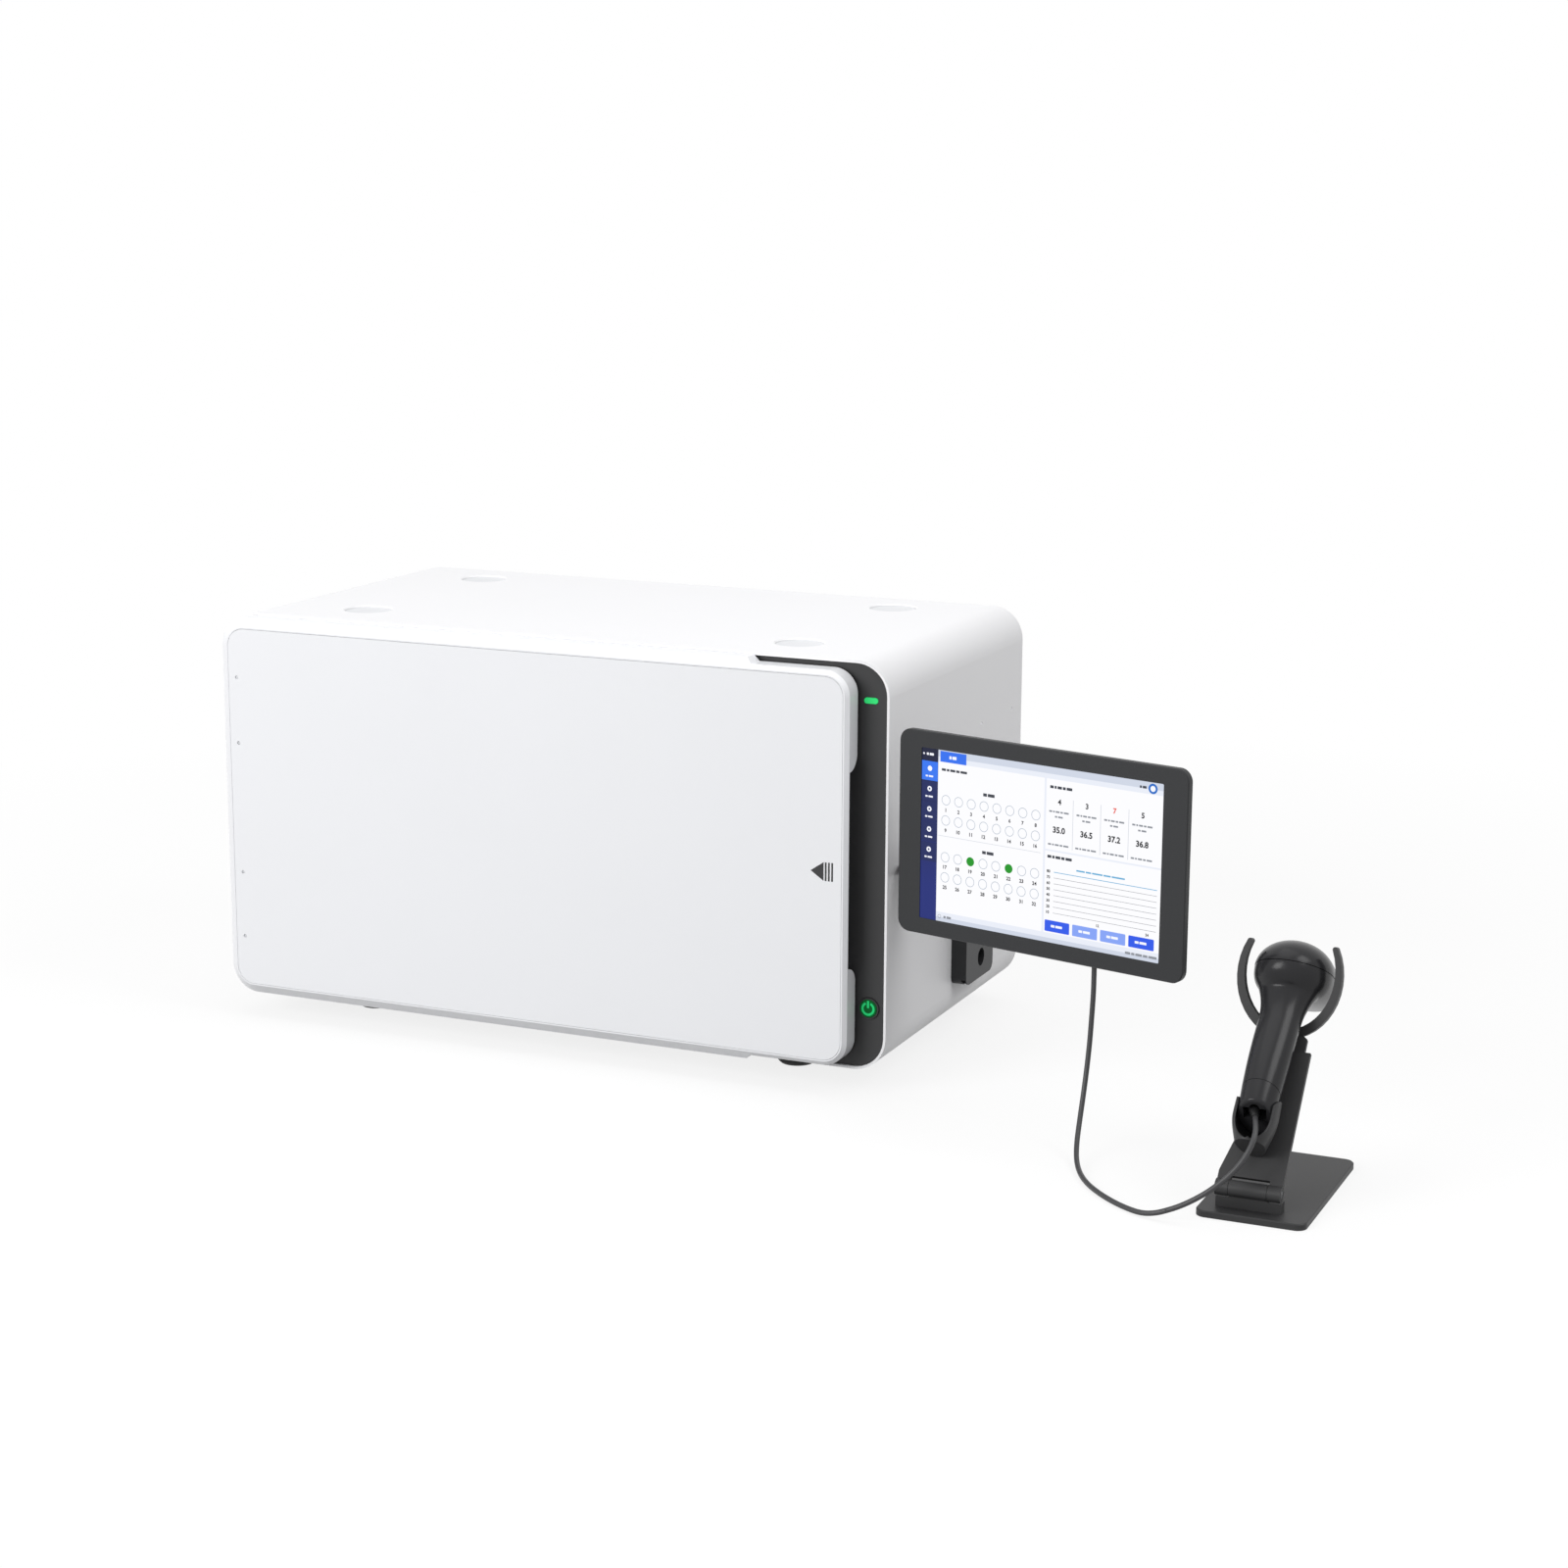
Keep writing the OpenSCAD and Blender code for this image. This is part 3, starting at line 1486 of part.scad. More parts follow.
// Neck behind the post and the tilted crescent that the scanner's head rests in
module scanner_fork() {
    y0 = post_t / 2;
    side = concat([for (i = [0 : crescent_steps]) crescent(i / crescent_steps * crescent_end, 0)],
        [for (i = [crescent_steps : -1 : 0]) crescent(i / crescent_steps * crescent_end, 1)]);
    color([0.22, 0.22, 0.225])
    placed()
    along_post() {
        along_y(y0, y0 + neck_t)
            polygon([[-14, neck_z], [18.6, neck_z], [18.6, post_len + 12], [16, neck_top], [-12, neck_top],
                [-14, post_len + 12]]);
        translate([0, y0 + 2.2, neck_top - 3])
            rotate([fork_tilt, 0, 0])
                along_y(0, fork_t)
                    for (s = [-1, 1]) {
                        polygon([for (q = side) [s * (q[0] < 0.01 ? -0.01 : q[0]), q[1]]]);
                        translate([s * crescent(crescent_end, 0.5)[0], crescent(crescent_end, 0.5)[1]])
                            circle(r = crescent_t(crescent_end) / 2 - 0.02, $fn = fine);
                    }
    }
}

// Scoop on the post that the handle's end stands in, open to the front
module scanner_cup() {
    color([0.22, 0.22, 0.225])
    placed()
    along_post()
    difference() {
        intersection() {
            translate([0, 0, cup_z0])
                linear_extrude(cup_z1 - cup_z0)
                    scoop_outline(cup_r, -post_t / 2);
            along_y(cup_y - 2 * cup_r, 0)
                translate([0, cup_z0 + 30])
                    rrect(2 * cup_r + 0.4, 60, 11);
        }
        translate([0, 0, cup_z0 + 3.5])
            linear_extrude(cup_z1)
                difference() {
                    scoop_outline(cup_r - cup_t, cup_y + cup_r - cup_t);
                    translate([-cup_r, cup_y + 8.5])
                        square([2 * cup_r, cup_r]);
                }
        // Above the ledge that carries the handle's heel
        translate([0, 0, heel_z - 8.6])
            linear_extrude(cup_z1)
                scoop_outline(cup_r - cup_t, cup_y + cup_r - cup_t);
        // Slanted mouth
        translate([0, cup_y - cup_lip, cup_z0])
            rotate([-cup_slant, 0, 0])
                block([-cup_r - 1, -60, -20], [cup_r + 1, 0, 80]);
    }
}

module scoop_outline(r, back) {
    translate([0, cup_y])
        circle(r = r, $fn = fine);
    translate([-r, cup_y])
        square([2 * r, back - cup_y]);
}

// A closed skin through rings of points, each ring with the same number of points
module skin(rings) {
    n = len(rings[0]);
    m = len(rings);
    polyhedron(
        points = [for (ring = rings) for (q = ring) q],
        faces = concat(
            [[for (k = [0 : n - 1]) k]],
            [for (j = [0 : m - 2]) for (k = [0 : n - 1])
                [j * n + k, (j + 1) * n + k, (j + 1) * n + (k + 1) % n]],
            [for (j = [0 : m - 2]) for (k = [0 : n - 1])
                [j * n + k, (j + 1) * n + (k + 1) % n, j * n + (k + 1) % n]],
            [[for (k = [n - 1 : -1 : 0]) (m - 1) * n + k]]
        ),
        convexity = 6
    );
}

// Middle of the handle at a height, which leans to the front and curves up to the head
function grip_y(z) = -26 + 0.049 * (z - 38) + 0.00098 * pow(z - 38, 2);

// Handle: oval sections from the slanted end face up into the head, wider at both ends
function handle_ring(t) =
    let (z = heel_z + (handle_top - heel_z) * t,
        neck = pow(max(0, (t - 0.7) / 0.3), 2),
        half_x = grip_half_w - 2.4 * pow(1 - min(1, t * 1.6), 2) + 3 * neck,
        half_y = grip_half_d + 4 * neck,
        slope = -0.58 * pow(1 - t, 2))
    [for (k = [0 : skin_sides - 1])
        let (a = 360 * k / skin_sides)
        [half_x * cos(a), grip_y(z) + half_y * sin(a), z + slope * half_y * sin(a)]];

module handle_form() {
    skin([for (j = [0 : 14]) handle_ring(j / 14)]);
}

function lerp(a, b, t) = a + (b - a) * t;

// Head: sections along its length that are fuller than an oval below the parting line,
// round behind and rising to a blunt nose
function head_mid(y) = head_z + head_rise * y;
function head_size(t) =
    t < 0.4 ? sqrt(max(0.01, 1 - pow((0.4 - t) / 0.4, 2))) : 1 - 0.16 * pow((t - 0.4) / 0.6, 2);
function head_ring(t) =
    let (k0 = head_size(t) * (t > 0.985 ? 0.94 : 1),
        y = head_y0 + (head_y1 - head_y0) * t)
    [for (k = [0 : skin_sides - 1])
        let (a = 360 * k / skin_sides,
            under = max(0, sin(a)),
            drop = under > 0 ? lerp(1, 0.73, max(0, t - 0.4) / 0.6) : 1,
            full = under > 0 ? bowl : 1)
        [head_half_w * k0 * sign(cos(a)) * pow(abs(cos(a)), full), y,
            head_mid(y) - head_half_h * k0 * drop * sign(sin(a)) * pow(abs(sin(a)), full)]];

// The rings lie closer where the head is rounder
module head_form() {
    stations = [0, 0.015, 0.05, 0.1, 0.16, 0.23, 0.31, 0.4, 0.52, 0.65, 0.78, 0.9, 0.965, 1];
    skin([for (t = stations) head_ring(t)]);
}

// Everything of the head below or above its slanted parting line
module head_part(below) {
    translate([0, 0, head_z])
        rotate([atan(head_rise) + 1.2, 0, 0])
            block([-40, -80, below ? -60 : parting_gap], [40, 80, below ? 0 : 60]);
}

module scanner_body() {
    color([0.2, 0.2, 0.21])
    placed()
    along_post()
    difference() {
        union() {
            handle_form();
            intersection() {
                head_form();
                head_part(true);
            }
        }
        // Window recess, trigger slot and the cord's port
        block([-17, window_y, window_mid - 6.5], [17, head_y1 + 2, window_mid + 6.5]);
        block([-7.5, trigger_y - trigger_travel - 3, trigger_z0 - 1],
            [7.5, trigger_y + 22, trigger_z1 + 1]);
        cord_port();
    }
}

// Opening in the handle's end face that the cord's plug goes up into
module cord_port() {
    y0 = grip_y(heel_z) - 2.5;
    translate([0, y0, heel_z + 2.2])
        rotate([-30, 0, 0])
            block([-8.5, -5, -6], [8.5, 5, 12]);
}

module scanner_cap() {
    color([0.22, 0.22, 0.23])
    placed()
    along_post()
    intersection() {
        head_form();
        head_part(false);
    }
}

module scanner_window() {
    color([0.08, 0.02, 0.04])
    placed()
    along_post()
        block([-16.7, window_y + 0.3, window_mid - 6.2], [16.7, window_y + 2, window_mid + 6.2]);
}

module scanner_trigger() {
    color([0.12, 0.12, 0.125])
    placed()
    along_post()
        along_x(-7, 7)
            polygon([[trigger_y, trigger_z0], [trigger_y + 5, trigger_z0 + 1],
                [trigger_y + 8, trigger_z1 - 6],
                [trigger_y + 10, trigger_z1], [trigger_y, trigger_z1]]);
}

// Plug and strain relief inside the port, in line with the cord's end
module cord_boot() {
    last = len(scanner_route) - 1;
    color([0.13, 0.13, 0.135])
    placed()
    translate(scanner_route[last] + 0.1 * port_heading)
        rotate([0, acos(port_heading[2]), atan2(port_heading[1], port_heading[0])])
            cylinder(h = boot_len, r1 = cord_r + 0.4, r2 = boot_r, $fn = fine);
}

// Cord tube: rings of points square to the route, one at each of its points
function unit(v) = v / norm(v);
function heading(route, i) =
    unit(route[min(i + 1, len(route) - 1)] - route[max(i - 1, 0)]);
function cord_ring(route, i, d, side) =
    let (u = unit(cross(d, side)), v = cross(u, d))
    [for (k = [0 : cord_sides - 1])
        route[i] + cord_r * (cos(360 * k / cord_sides) * v + sin(360 * k / cord_sides) * u)];

module cord_tube(route, first, last) {
    n = len(route);
    skin([for (i = [0 : n - 1])
        let (ahead = i == 0 ? first : (i == n - 1 ? last : heading(route, i)))
        cord_ring(route, i, ahead, [0.35, -0.9, 1])]);
}

module cord_to_bench() {
    color([0.2, 0.2, 0.205])
    placed()
        cord_tube(bench_route, [0, 0, -1], [1, 0, 0]);
}

module cord_to_scanner() {
    color([0.2, 0.2, 0.205])
    placed()
        cord_tube(scanner_route, [1, 0, 0], port_heading);
}

case_shell();
front_bezel();
rear_panel();
chamber_liner();
chamber_insulation();
rubber_feet();
status_lens();
button_ring();
power_button();
hinge_brackets();
hinge_pins();
catch_plates();
case_screws();
door_shell();
door_panel();
door_core();
door_liner();
door_seal();
door_hinges();
door_magnets();
rocker_shaft();
rocker_frame();
rack_upper();
rack_lower();
well_lights();
sensor_boards();
reference_vials();
sector_gear();
shaft_bearings();
motor_bracket();
drive_motor();
drive_pinion();
fan_housing();
fan_rotor();
fan_guard();
heater();
power_supply();
main_board();
power_inlet();
switch_rocker();
arm_block();
arm_plate();
arm_post();
monitor_frame();
monitor_screen();
monitor_back();
monitor_bracket();
scanner_plug();
stand_base();
stand_pin();
stand_post();
scanner_fork();
scanner_cup();
scanner_body();
scanner_cap();
scanner_window();
scanner_trigger();
cord_boot();
cord_to_bench();
cord_to_scanner();
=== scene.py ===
"""The finished look of a bench-top blood culture instrument.

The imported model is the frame: every rigid piece keeps the place and the size that it has
there. This script gives each piece its finish, makes the scanner, the stand's cup and the cord
again as smooth skins, and adds what a solid model leaves plain: the dishes in the case's top,
the mark on the door, the lit symbol on the button and the picture on the display.

Lengths are in metres in the model's frame. Sizes with names that end in _mm are counted from
the cabinet itself: its middle, the door's front face and the bench.
"""
from __future__ import annotations

import json
import logging
import math
from dataclasses import dataclass, field
from enum import Enum
from typing import ClassVar, Iterable, Sequence

import bmesh
import bpy
import numpy as np
from mathutils import Matrix, Vector

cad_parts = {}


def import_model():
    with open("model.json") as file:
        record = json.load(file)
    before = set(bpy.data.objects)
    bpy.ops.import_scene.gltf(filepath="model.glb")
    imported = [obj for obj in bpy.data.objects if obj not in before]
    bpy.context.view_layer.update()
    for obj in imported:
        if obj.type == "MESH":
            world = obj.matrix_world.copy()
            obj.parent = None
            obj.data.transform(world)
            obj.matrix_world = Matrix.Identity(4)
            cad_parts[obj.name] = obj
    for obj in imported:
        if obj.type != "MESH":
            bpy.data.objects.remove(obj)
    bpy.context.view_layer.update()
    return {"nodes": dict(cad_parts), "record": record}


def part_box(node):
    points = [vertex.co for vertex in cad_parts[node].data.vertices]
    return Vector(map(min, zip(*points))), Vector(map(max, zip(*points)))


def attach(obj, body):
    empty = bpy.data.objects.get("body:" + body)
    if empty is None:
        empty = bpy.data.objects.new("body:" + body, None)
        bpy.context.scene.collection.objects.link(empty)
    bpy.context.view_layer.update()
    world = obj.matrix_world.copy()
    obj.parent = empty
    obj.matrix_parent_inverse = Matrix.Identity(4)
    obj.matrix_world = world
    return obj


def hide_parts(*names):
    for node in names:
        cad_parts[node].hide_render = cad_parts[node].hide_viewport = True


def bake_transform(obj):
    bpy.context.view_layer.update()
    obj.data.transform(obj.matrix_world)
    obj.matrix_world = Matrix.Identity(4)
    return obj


LOG = logging.getLogger("blood_culture_instrument")
MM = 0.001
# The picture's width in pixels, in which the camera's focal length is given.
IMAGE_SIZE = 1600
# How much a numeral's strokes are thickened, as a share of its size.
NUMERAL_WEIGHT = 0.035
# Points as rows, and faces as lists of point numbers.
Skin = tuple[np.ndarray, list[list[int]]]


def srgb(red: float, green: float, blue: float) -> tuple[float, float, float, float]:
    """Turn a colour as a screen shows it into the linear values that shaders use.

    Args:
        red: Red from 0 to 255.
        green: Green from 0 to 255.
        blue: Blue from 0 to 255.

    Returns:
        The linear colour with full opacity.
    """
    parts = np.array([red, green, blue], float) / 255
    curve = np.where(parts <= 0.04045, parts / 12.92, ((parts + 0.055) / 1.055) ** 2.4)
    return (*(float(part) for part in curve), 1.0)


@dataclass(frozen=True)
class CabinetAxes:
    """The cabinet's own axes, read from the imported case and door."""

    middle: float
    face: float

    @classmethod
    def read(cls) -> CabinetAxes:
        """Find the case's middle and the door's front face in the frame."""
        low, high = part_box("case_shell")
        return cls((low.x + high.x) / 2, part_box("door_panel")[0].y)

    def points(self, mm: np.ndarray | Sequence) -> np.ndarray:
        """Turn points in millimetres from the cabinet into points of the frame.

        Args:
            mm: One point or rows of points, in millimetres.

        Returns:
            The same points in metres in the model's frame.
        """
        return np.asarray(mm, float) * MM + np.array([self.middle, self.face, 0.0])


@dataclass(frozen=True)
class MonitorAxes:
    """The monitor's axes: right along its face, back into it, and up."""

    cabinet: CabinetAxes
    centre_x_mm: float = 443.1
    centre_y_mm: float = -20.4
    turn: float = math.radians(-14.22)

    def points(self, across: np.ndarray, back: np.ndarray, up: np.ndarray) -> np.ndarray:
        """Place points given along the monitor's face.

        Args:
            across: Millimetres to the right of the monitor's middle.
            back: Millimetres behind its front plane.
            up: Millimetres above the bench.

        Returns:
            The points in the model's frame, in metres.
        """
        across, back, up = np.broadcast_arrays(across, back, up)
        cos, sin = math.cos(self.turn), math.sin(self.turn)
        east = self.centre_x_mm + across * cos - back * sin
        north = self.centre_y_mm + across * sin + back * cos
        return self.cabinet.points(np.stack([east, north, up], axis=-1))


@dataclass(frozen=True)
class PostAxes:
    """The stand post's axes: x along its hinge, y square to it and away from the front, z up it."""

    hinge: np.ndarray
    back: np.ndarray
    up: np.ndarray

    @classmethod
    def read(cls, record: dict) -> PostAxes:
        """Find the post's hinge, and its lean from the way the trigger slides.

        Args:
            record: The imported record.

        Returns:
            The post's axes.
        """
        joints = {joint["name"]: joint for joint in record["behaviour"]["joints"]}
        back = -np.array(joints["trigger_pull"]["axis"], float)
        return cls(np.array(joints["stand_tilt"]["pos_m"], float), back, np.cross([1.0, 0.0, 0.0], back))

    def points(self, mm: np.ndarray) -> np.ndarray:
        """Turn points in millimetres about the hinge into points of the frame, in metres."""
        turn = np.stack([np.array([1.0, 0.0, 0.0]), self.back, self.up])
        return self.hinge + np.asarray(mm, float) @ turn * MM


class Grain(Enum):
    """How a surface's fine relief runs."""

    FINE = "fine"
    BRUSHED = "brushed"


class ShaderGroups:
    """The shared effects, each built once as a node group."""

    def __init__(self) -> None:
        """Build both groups."""
        self.grain = self._make_grain()
        self.brushed = self._make_brushed()

    @staticmethod
    def _open(name: str, floats: dict[str, float]
              ) -> tuple[bpy.types.NodeTree, bpy.types.Node, bpy.types.Node]:
        """Start a group with the sockets that both effects share.

        Args:
            name: The group's name.
            floats: Number sockets and their defaults.

        Returns:
            The tree, its input node and its output node.
        """
        tree = bpy.data.node_groups.new(name, "ShaderNodeTree")
        tree.interface.new_socket("Vector", in_out="INPUT", socket_type="NodeSocketVector")
        tree.interface.new_socket("Color", in_out="INPUT", socket_type="NodeSocketColor")
        for label, default in floats.items():
            socket = tree.interface.new_socket(label, in_out="INPUT", socket_type="NodeSocketFloat")
            socket.default_value = default
        tree.interface.new_socket("Color", in_out="OUTPUT", socket_type="NodeSocketColor")
        tree.interface.new_socket("Roughness", in_out="OUTPUT", socket_type="NodeSocketFloat")
        tree.interface.new_socket("Height", in_out="OUTPUT", socket_type="NodeSocketFloat")
        return tree, tree.nodes.new("NodeGroupInput"), tree.nodes.new("NodeGroupOutput")

    @staticmethod
    def _finish_outputs(tree: bpy.types.NodeTree, entry: bpy.types.Node, leave: bpy.types.Node,
                        cloud: bpy.types.NodeSocket, relief: bpy.types.NodeSocket) -> None:
        """Join the tone, roughness and height outputs.

        The tone is the colour times one plus or minus the shade share of the broad cloud, and
        the roughness moves up and down with the same cloud.

        Args:
            tree: The group's tree.
            entry: Its input node.
            leave: Its output node.
            cloud: A broad noise from 0 to 1.
            relief: A fine noise from 0 to 1.
        """
        link = tree.links.new
        centred = tree.nodes.new("ShaderNodeMath")
        centred.operation = "SUBTRACT"
        link(cloud, centred.inputs[0])
        centred.inputs[1].default_value = 0.5
        shade = tree.nodes.new("ShaderNodeMath")
        shade.operation = "MULTIPLY_ADD"
        link(centred.outputs[0], shade.inputs[0])
        link(entry.outputs["Shade"], shade.inputs[1])
        shade.inputs[2].default_value = 1.0
        tone = tree.nodes.new("ShaderNodeVectorMath")
        tone.operation = "SCALE"
        link(entry.outputs["Color"], tone.inputs[0])
        link(shade.outputs[0], tone.inputs["Scale"])
        rough = tree.nodes.new("ShaderNodeMath")
        rough.operation = "MULTIPLY_ADD"
        link(centred.outputs[0], rough.inputs[0])
        link(entry.outputs["Spread"], rough.inputs[1])
        link(entry.outputs["Roughness"], rough.inputs[2])
        link(tone.outputs[0], leave.inputs["Color"])
        link(rough.outputs[0], leave.inputs["Roughness"])
        link(relief, leave.inputs["Height"])

    def _make_grain(self) -> bpy.types.NodeTree:
        """Build the moulded grain: a fine noise for relief, a broad one for tone.

        Returns:
            The group's tree.
        """
        tree, entry, leave = self._open("moulded_grain", {
            "Scale": 900.0, "Shade": 0.03, "Roughness": 0.4, "Spread": 0.05})
        fine = tree.nodes.new("ShaderNodeTexNoise")
        fine.inputs["Detail"].default_value = 2.0
        broad = tree.nodes.new("ShaderNodeTexNoise")
        broad.inputs["Scale"].default_value = 9.0
        broad.inputs["Detail"].default_value = 3.0
        tree.links.new(entry.outputs["Vector"], fine.inputs["Vector"])
        tree.links.new(entry.outputs["Scale"], fine.inputs["Scale"])
        tree.links.new(entry.outputs["Vector"], broad.inputs["Vector"])
        self._finish_outputs(tree, entry, leave, broad.outputs["Fac"], fine.outputs["Fac"])
        return tree

    def _make_brushed(self) -> bpy.types.NodeTree:
        """Build the brushed metal: noise stretched forty times along one axis.

        Returns:
            The group's tree.
        """
        tree, entry, leave = self._open("brushed_lines", {
            "Scale": 600.0, "Shade": 0.12, "Roughness": 0.35, "Spread": 0.15})
        stretch = tree.nodes.new("ShaderNodeVectorMath")
        stretch.operation = "MULTIPLY"
        stretch.inputs[1].default_value = (0.025, 1.0, 1.0)
        lines = tree.nodes.new("ShaderNodeTexNoise")
        lines.inputs["Detail"].default_value = 1.0
        tree.links.new(entry.outputs["Vector"], stretch.inputs[0])
        tree.links.new(stretch.outputs[0], lines.inputs["Vector"])
        tree.links.new(entry.outputs["Scale"], lines.inputs["Scale"])
        self._finish_outputs(tree, entry, leave, lines.outputs["Fac"], lines.outputs["Fac"])
        return tree


@dataclass(frozen=True)
class Finish:
    """One finish: its colour, its gloss and its fine relief."""

    name: str
    colour: tuple[float, float, float, float]
    roughness: float
    metallic: float = 0.0
    coat: float = 0.0
    grain: Grain = Grain.FINE
    grain_scale: float = 900.0
    relief_mm: float = 0.01
    shade: float = 0.02
    spread: float = 0.05
    glow: float = 0.0
    specular: float = 0.5

    def build(self, groups: ShaderGroups) -> bpy.types.Material:
        """Make the material.

        Args:
            groups: The shared effects.

        Returns:
            A material with the grain group feeding colour, roughness and bump.
        """
        material = bpy.data.materials.new(self.name)
        material.use_nodes = True
        nodes, link = material.node_tree.nodes, material.node_tree.links.new
        shader = nodes["Principled BSDF"]
        shader.inputs["Metallic"].default_value = self.metallic
        shader.inputs["Coat Weight"].default_value = self.coat
        shader.inputs["Coat Roughness"].default_value = 0.08
        shader.inputs["Specular IOR Level"].default_value = self.specular
        if self.glow:
            shader.inputs["Emission Color"].default_value = self.colour
            shader.inputs["Emission Strength"].default_value = self.glow
        place = nodes.new("ShaderNodeTexCoord")
        effect = nodes.new("ShaderNodeGroup")
        effect.node_tree = groups.brushed if self.grain is Grain.BRUSHED else groups.grain
        effect.inputs["Color"].default_value = self.colour
        effect.inputs["Scale"].default_value = self.grain_scale
        effect.inputs["Shade"].default_value = self.shade
        effect.inputs["Roughness"].default_value = self.roughness
        effect.inputs["Spread"].default_value = self.spread
        bump = nodes.new("ShaderNodeBump")
        bump.inputs["Distance"].default_value = self.relief_mm * MM
        bump.inputs["Strength"].default_value = 1.0
        link(place.outputs["Object"], effect.inputs["Vector"])
        link(effect.outputs["Color"], shader.inputs["Base Color"])
        link(effect.outputs["Roughness"], shader.inputs["Roughness"])
        link(effect.outputs["Height"], bump.inputs["Height"])
        link(bump.outputs["Normal"], shader.inputs["Normal"])
        return material


FINISHES = (
    Finish("case_paint", srgb(246, 246, 248), 0.42, relief_mm=0.012, grain_scale=700, shade=0.012),
    Finish("door_moulding", srgb(243, 244, 247), 0.3, coat=0.15, relief_mm=0.004, shade=0.02),
    Finish("bezel_plastic", srgb(50, 50, 51), 0.5, relief_mm=0.02, grain_scale=1400, specular=0.35),
    Finish("stand_paint", srgb(48, 48, 49), 0.5, relief_mm=0.02, grain_scale=1400, specular=0.35),
    Finish("monitor_plastic", srgb(44, 45, 47), 0.45, relief_mm=0.012, grain_scale=1600, specular=0.3),
    Finish("scanner_plastic", srgb(41, 41, 43), 0.24, relief_mm=0.002, grain_scale=1200,
           specular=0.22),
    Finish("trigger_plastic", srgb(34, 34, 35), 0.4, relief_mm=0.01),
    Finish("black_plastic", srgb(30, 30, 31), 0.42, relief_mm=0.01),
    Finish("rubber", srgb(24, 24, 24), 0.7, relief_mm=0.03, grain_scale=1100),
    Finish("seal_rubber", srgb(40, 40, 41), 0.6, relief_mm=0.02),
    Finish("sheet_steel", srgb(196, 198, 201), 0.36, 1.0, grain=Grain.BRUSHED, shade=0.1, spread=0.12),
    Finish("ground_steel", srgb(205, 206, 209), 0.22, 1.0, grain=Grain.BRUSHED, shade=0.06),
    Finish("aluminium", srgb(214, 215, 218), 0.34, 1.0, grain=Grain.BRUSHED, shade=0.08),
    Finish("gear_brass", srgb(208, 170, 92), 0.26, 1.0, grain=Grain.BRUSHED, shade=0.08),
    Finish("rack_plastic", srgb(226, 229, 233), 0.34, coat=0.1, relief_mm=0.006),
    Finish("light_pipe", srgb(205, 235, 220), 0.18, coat=0.4, relief_mm=0.002),
    Finish("foam", srgb(232, 226, 204), 0.85, relief_mm=0.15, grain_scale=500, shade=0.08),
    Finish("circuit_board", srgb(22, 92, 56), 0.35, coat=0.3, relief_mm=0.02, grain_scale=300, shade=0.2),
    Finish("vial_glass", srgb(200, 214, 226), 0.08, coat=0.5, relief_mm=0.002),
    Finish("window_tint", srgb(46, 10, 16), 0.06, coat=0.6, relief_mm=0.001),
    Finish("status_green", srgb(22, 196, 100), 0.3, relief_mm=0.002, glow=0.5),
    Finish("button_green", srgb(4, 84, 36), 0.4, relief_mm=0.002, glow=0.3, specular=0.1),
    Finish("symbol_green", srgb(34, 180, 102), 0.4, relief_mm=0.002, glow=0.45, specular=0.1),
    Finish("mark_grey", srgb(36, 36, 38), 0.5, relief_mm=0.004),
    # Painted shade: the recess dishes are greyer than the case's white paint, to stand in for the shade in
    # the recesses.
    Finish("recess_painted_shade", srgb(230, 231, 234), 0.5, relief_mm=0.01),
    Finish("cord_jacket", srgb(58, 58, 60), 0.45, relief_mm=0.01, grain_scale=1500),
)

NODE_FINISHES = {
    "case_paint": ("case_shell", "rear_panel"),
    "door_moulding": ("door_shell", "door_panel"),
    "bezel_plastic": ("front_bezel",),
    "stand_paint": ("stand_base", "stand_post", "scanner_fork", "scanner_cup"),
    "monitor_plastic": ("monitor_frame", "monitor_back", "arm_block", "arm_plate", "arm_post",
                        "monitor_bracket"),
    "scanner_plastic": ("scanner_body", "scanner_cap"),
    "trigger_plastic": ("scanner_trigger", "scanner_plug", "cord_boot"),
    "black_plastic": ("button_ring", "drive_motor", "fan_housing", "fan_rotor", "power_inlet",
                      "switch_rocker"),
    "rubber": ("rubber_feet",),
    "seal_rubber": ("door_seal",),
    "sheet_steel": ("chamber_liner", "door_liner", "hinge_brackets", "door_hinges", "catch_plates",
                    "door_magnets", "rocker_frame", "motor_bracket", "fan_guard"),
    "ground_steel": ("hinge_pins", "case_screws", "shaft_bearings", "rocker_shaft", "drive_pinion",
                     "stand_pin"),
    "aluminium": ("heater", "power_supply"),
    "gear_brass": ("sector_gear",),
    "rack_plastic": ("rack_upper", "rack_lower"),
    "light_pipe": ("well_lights",),
    "foam": ("chamber_insulation", "door_core"),
    "circuit_board": ("sensor_boards", "main_board"),
    "vial_glass": ("reference_vials",),
    "window_tint": ("scanner_window",),
    "status_green": ("status_lens",),
    "button_green": ("power_button",),
    "cord_jacket": ("cord_to_bench", "cord_to_scanner"),
}


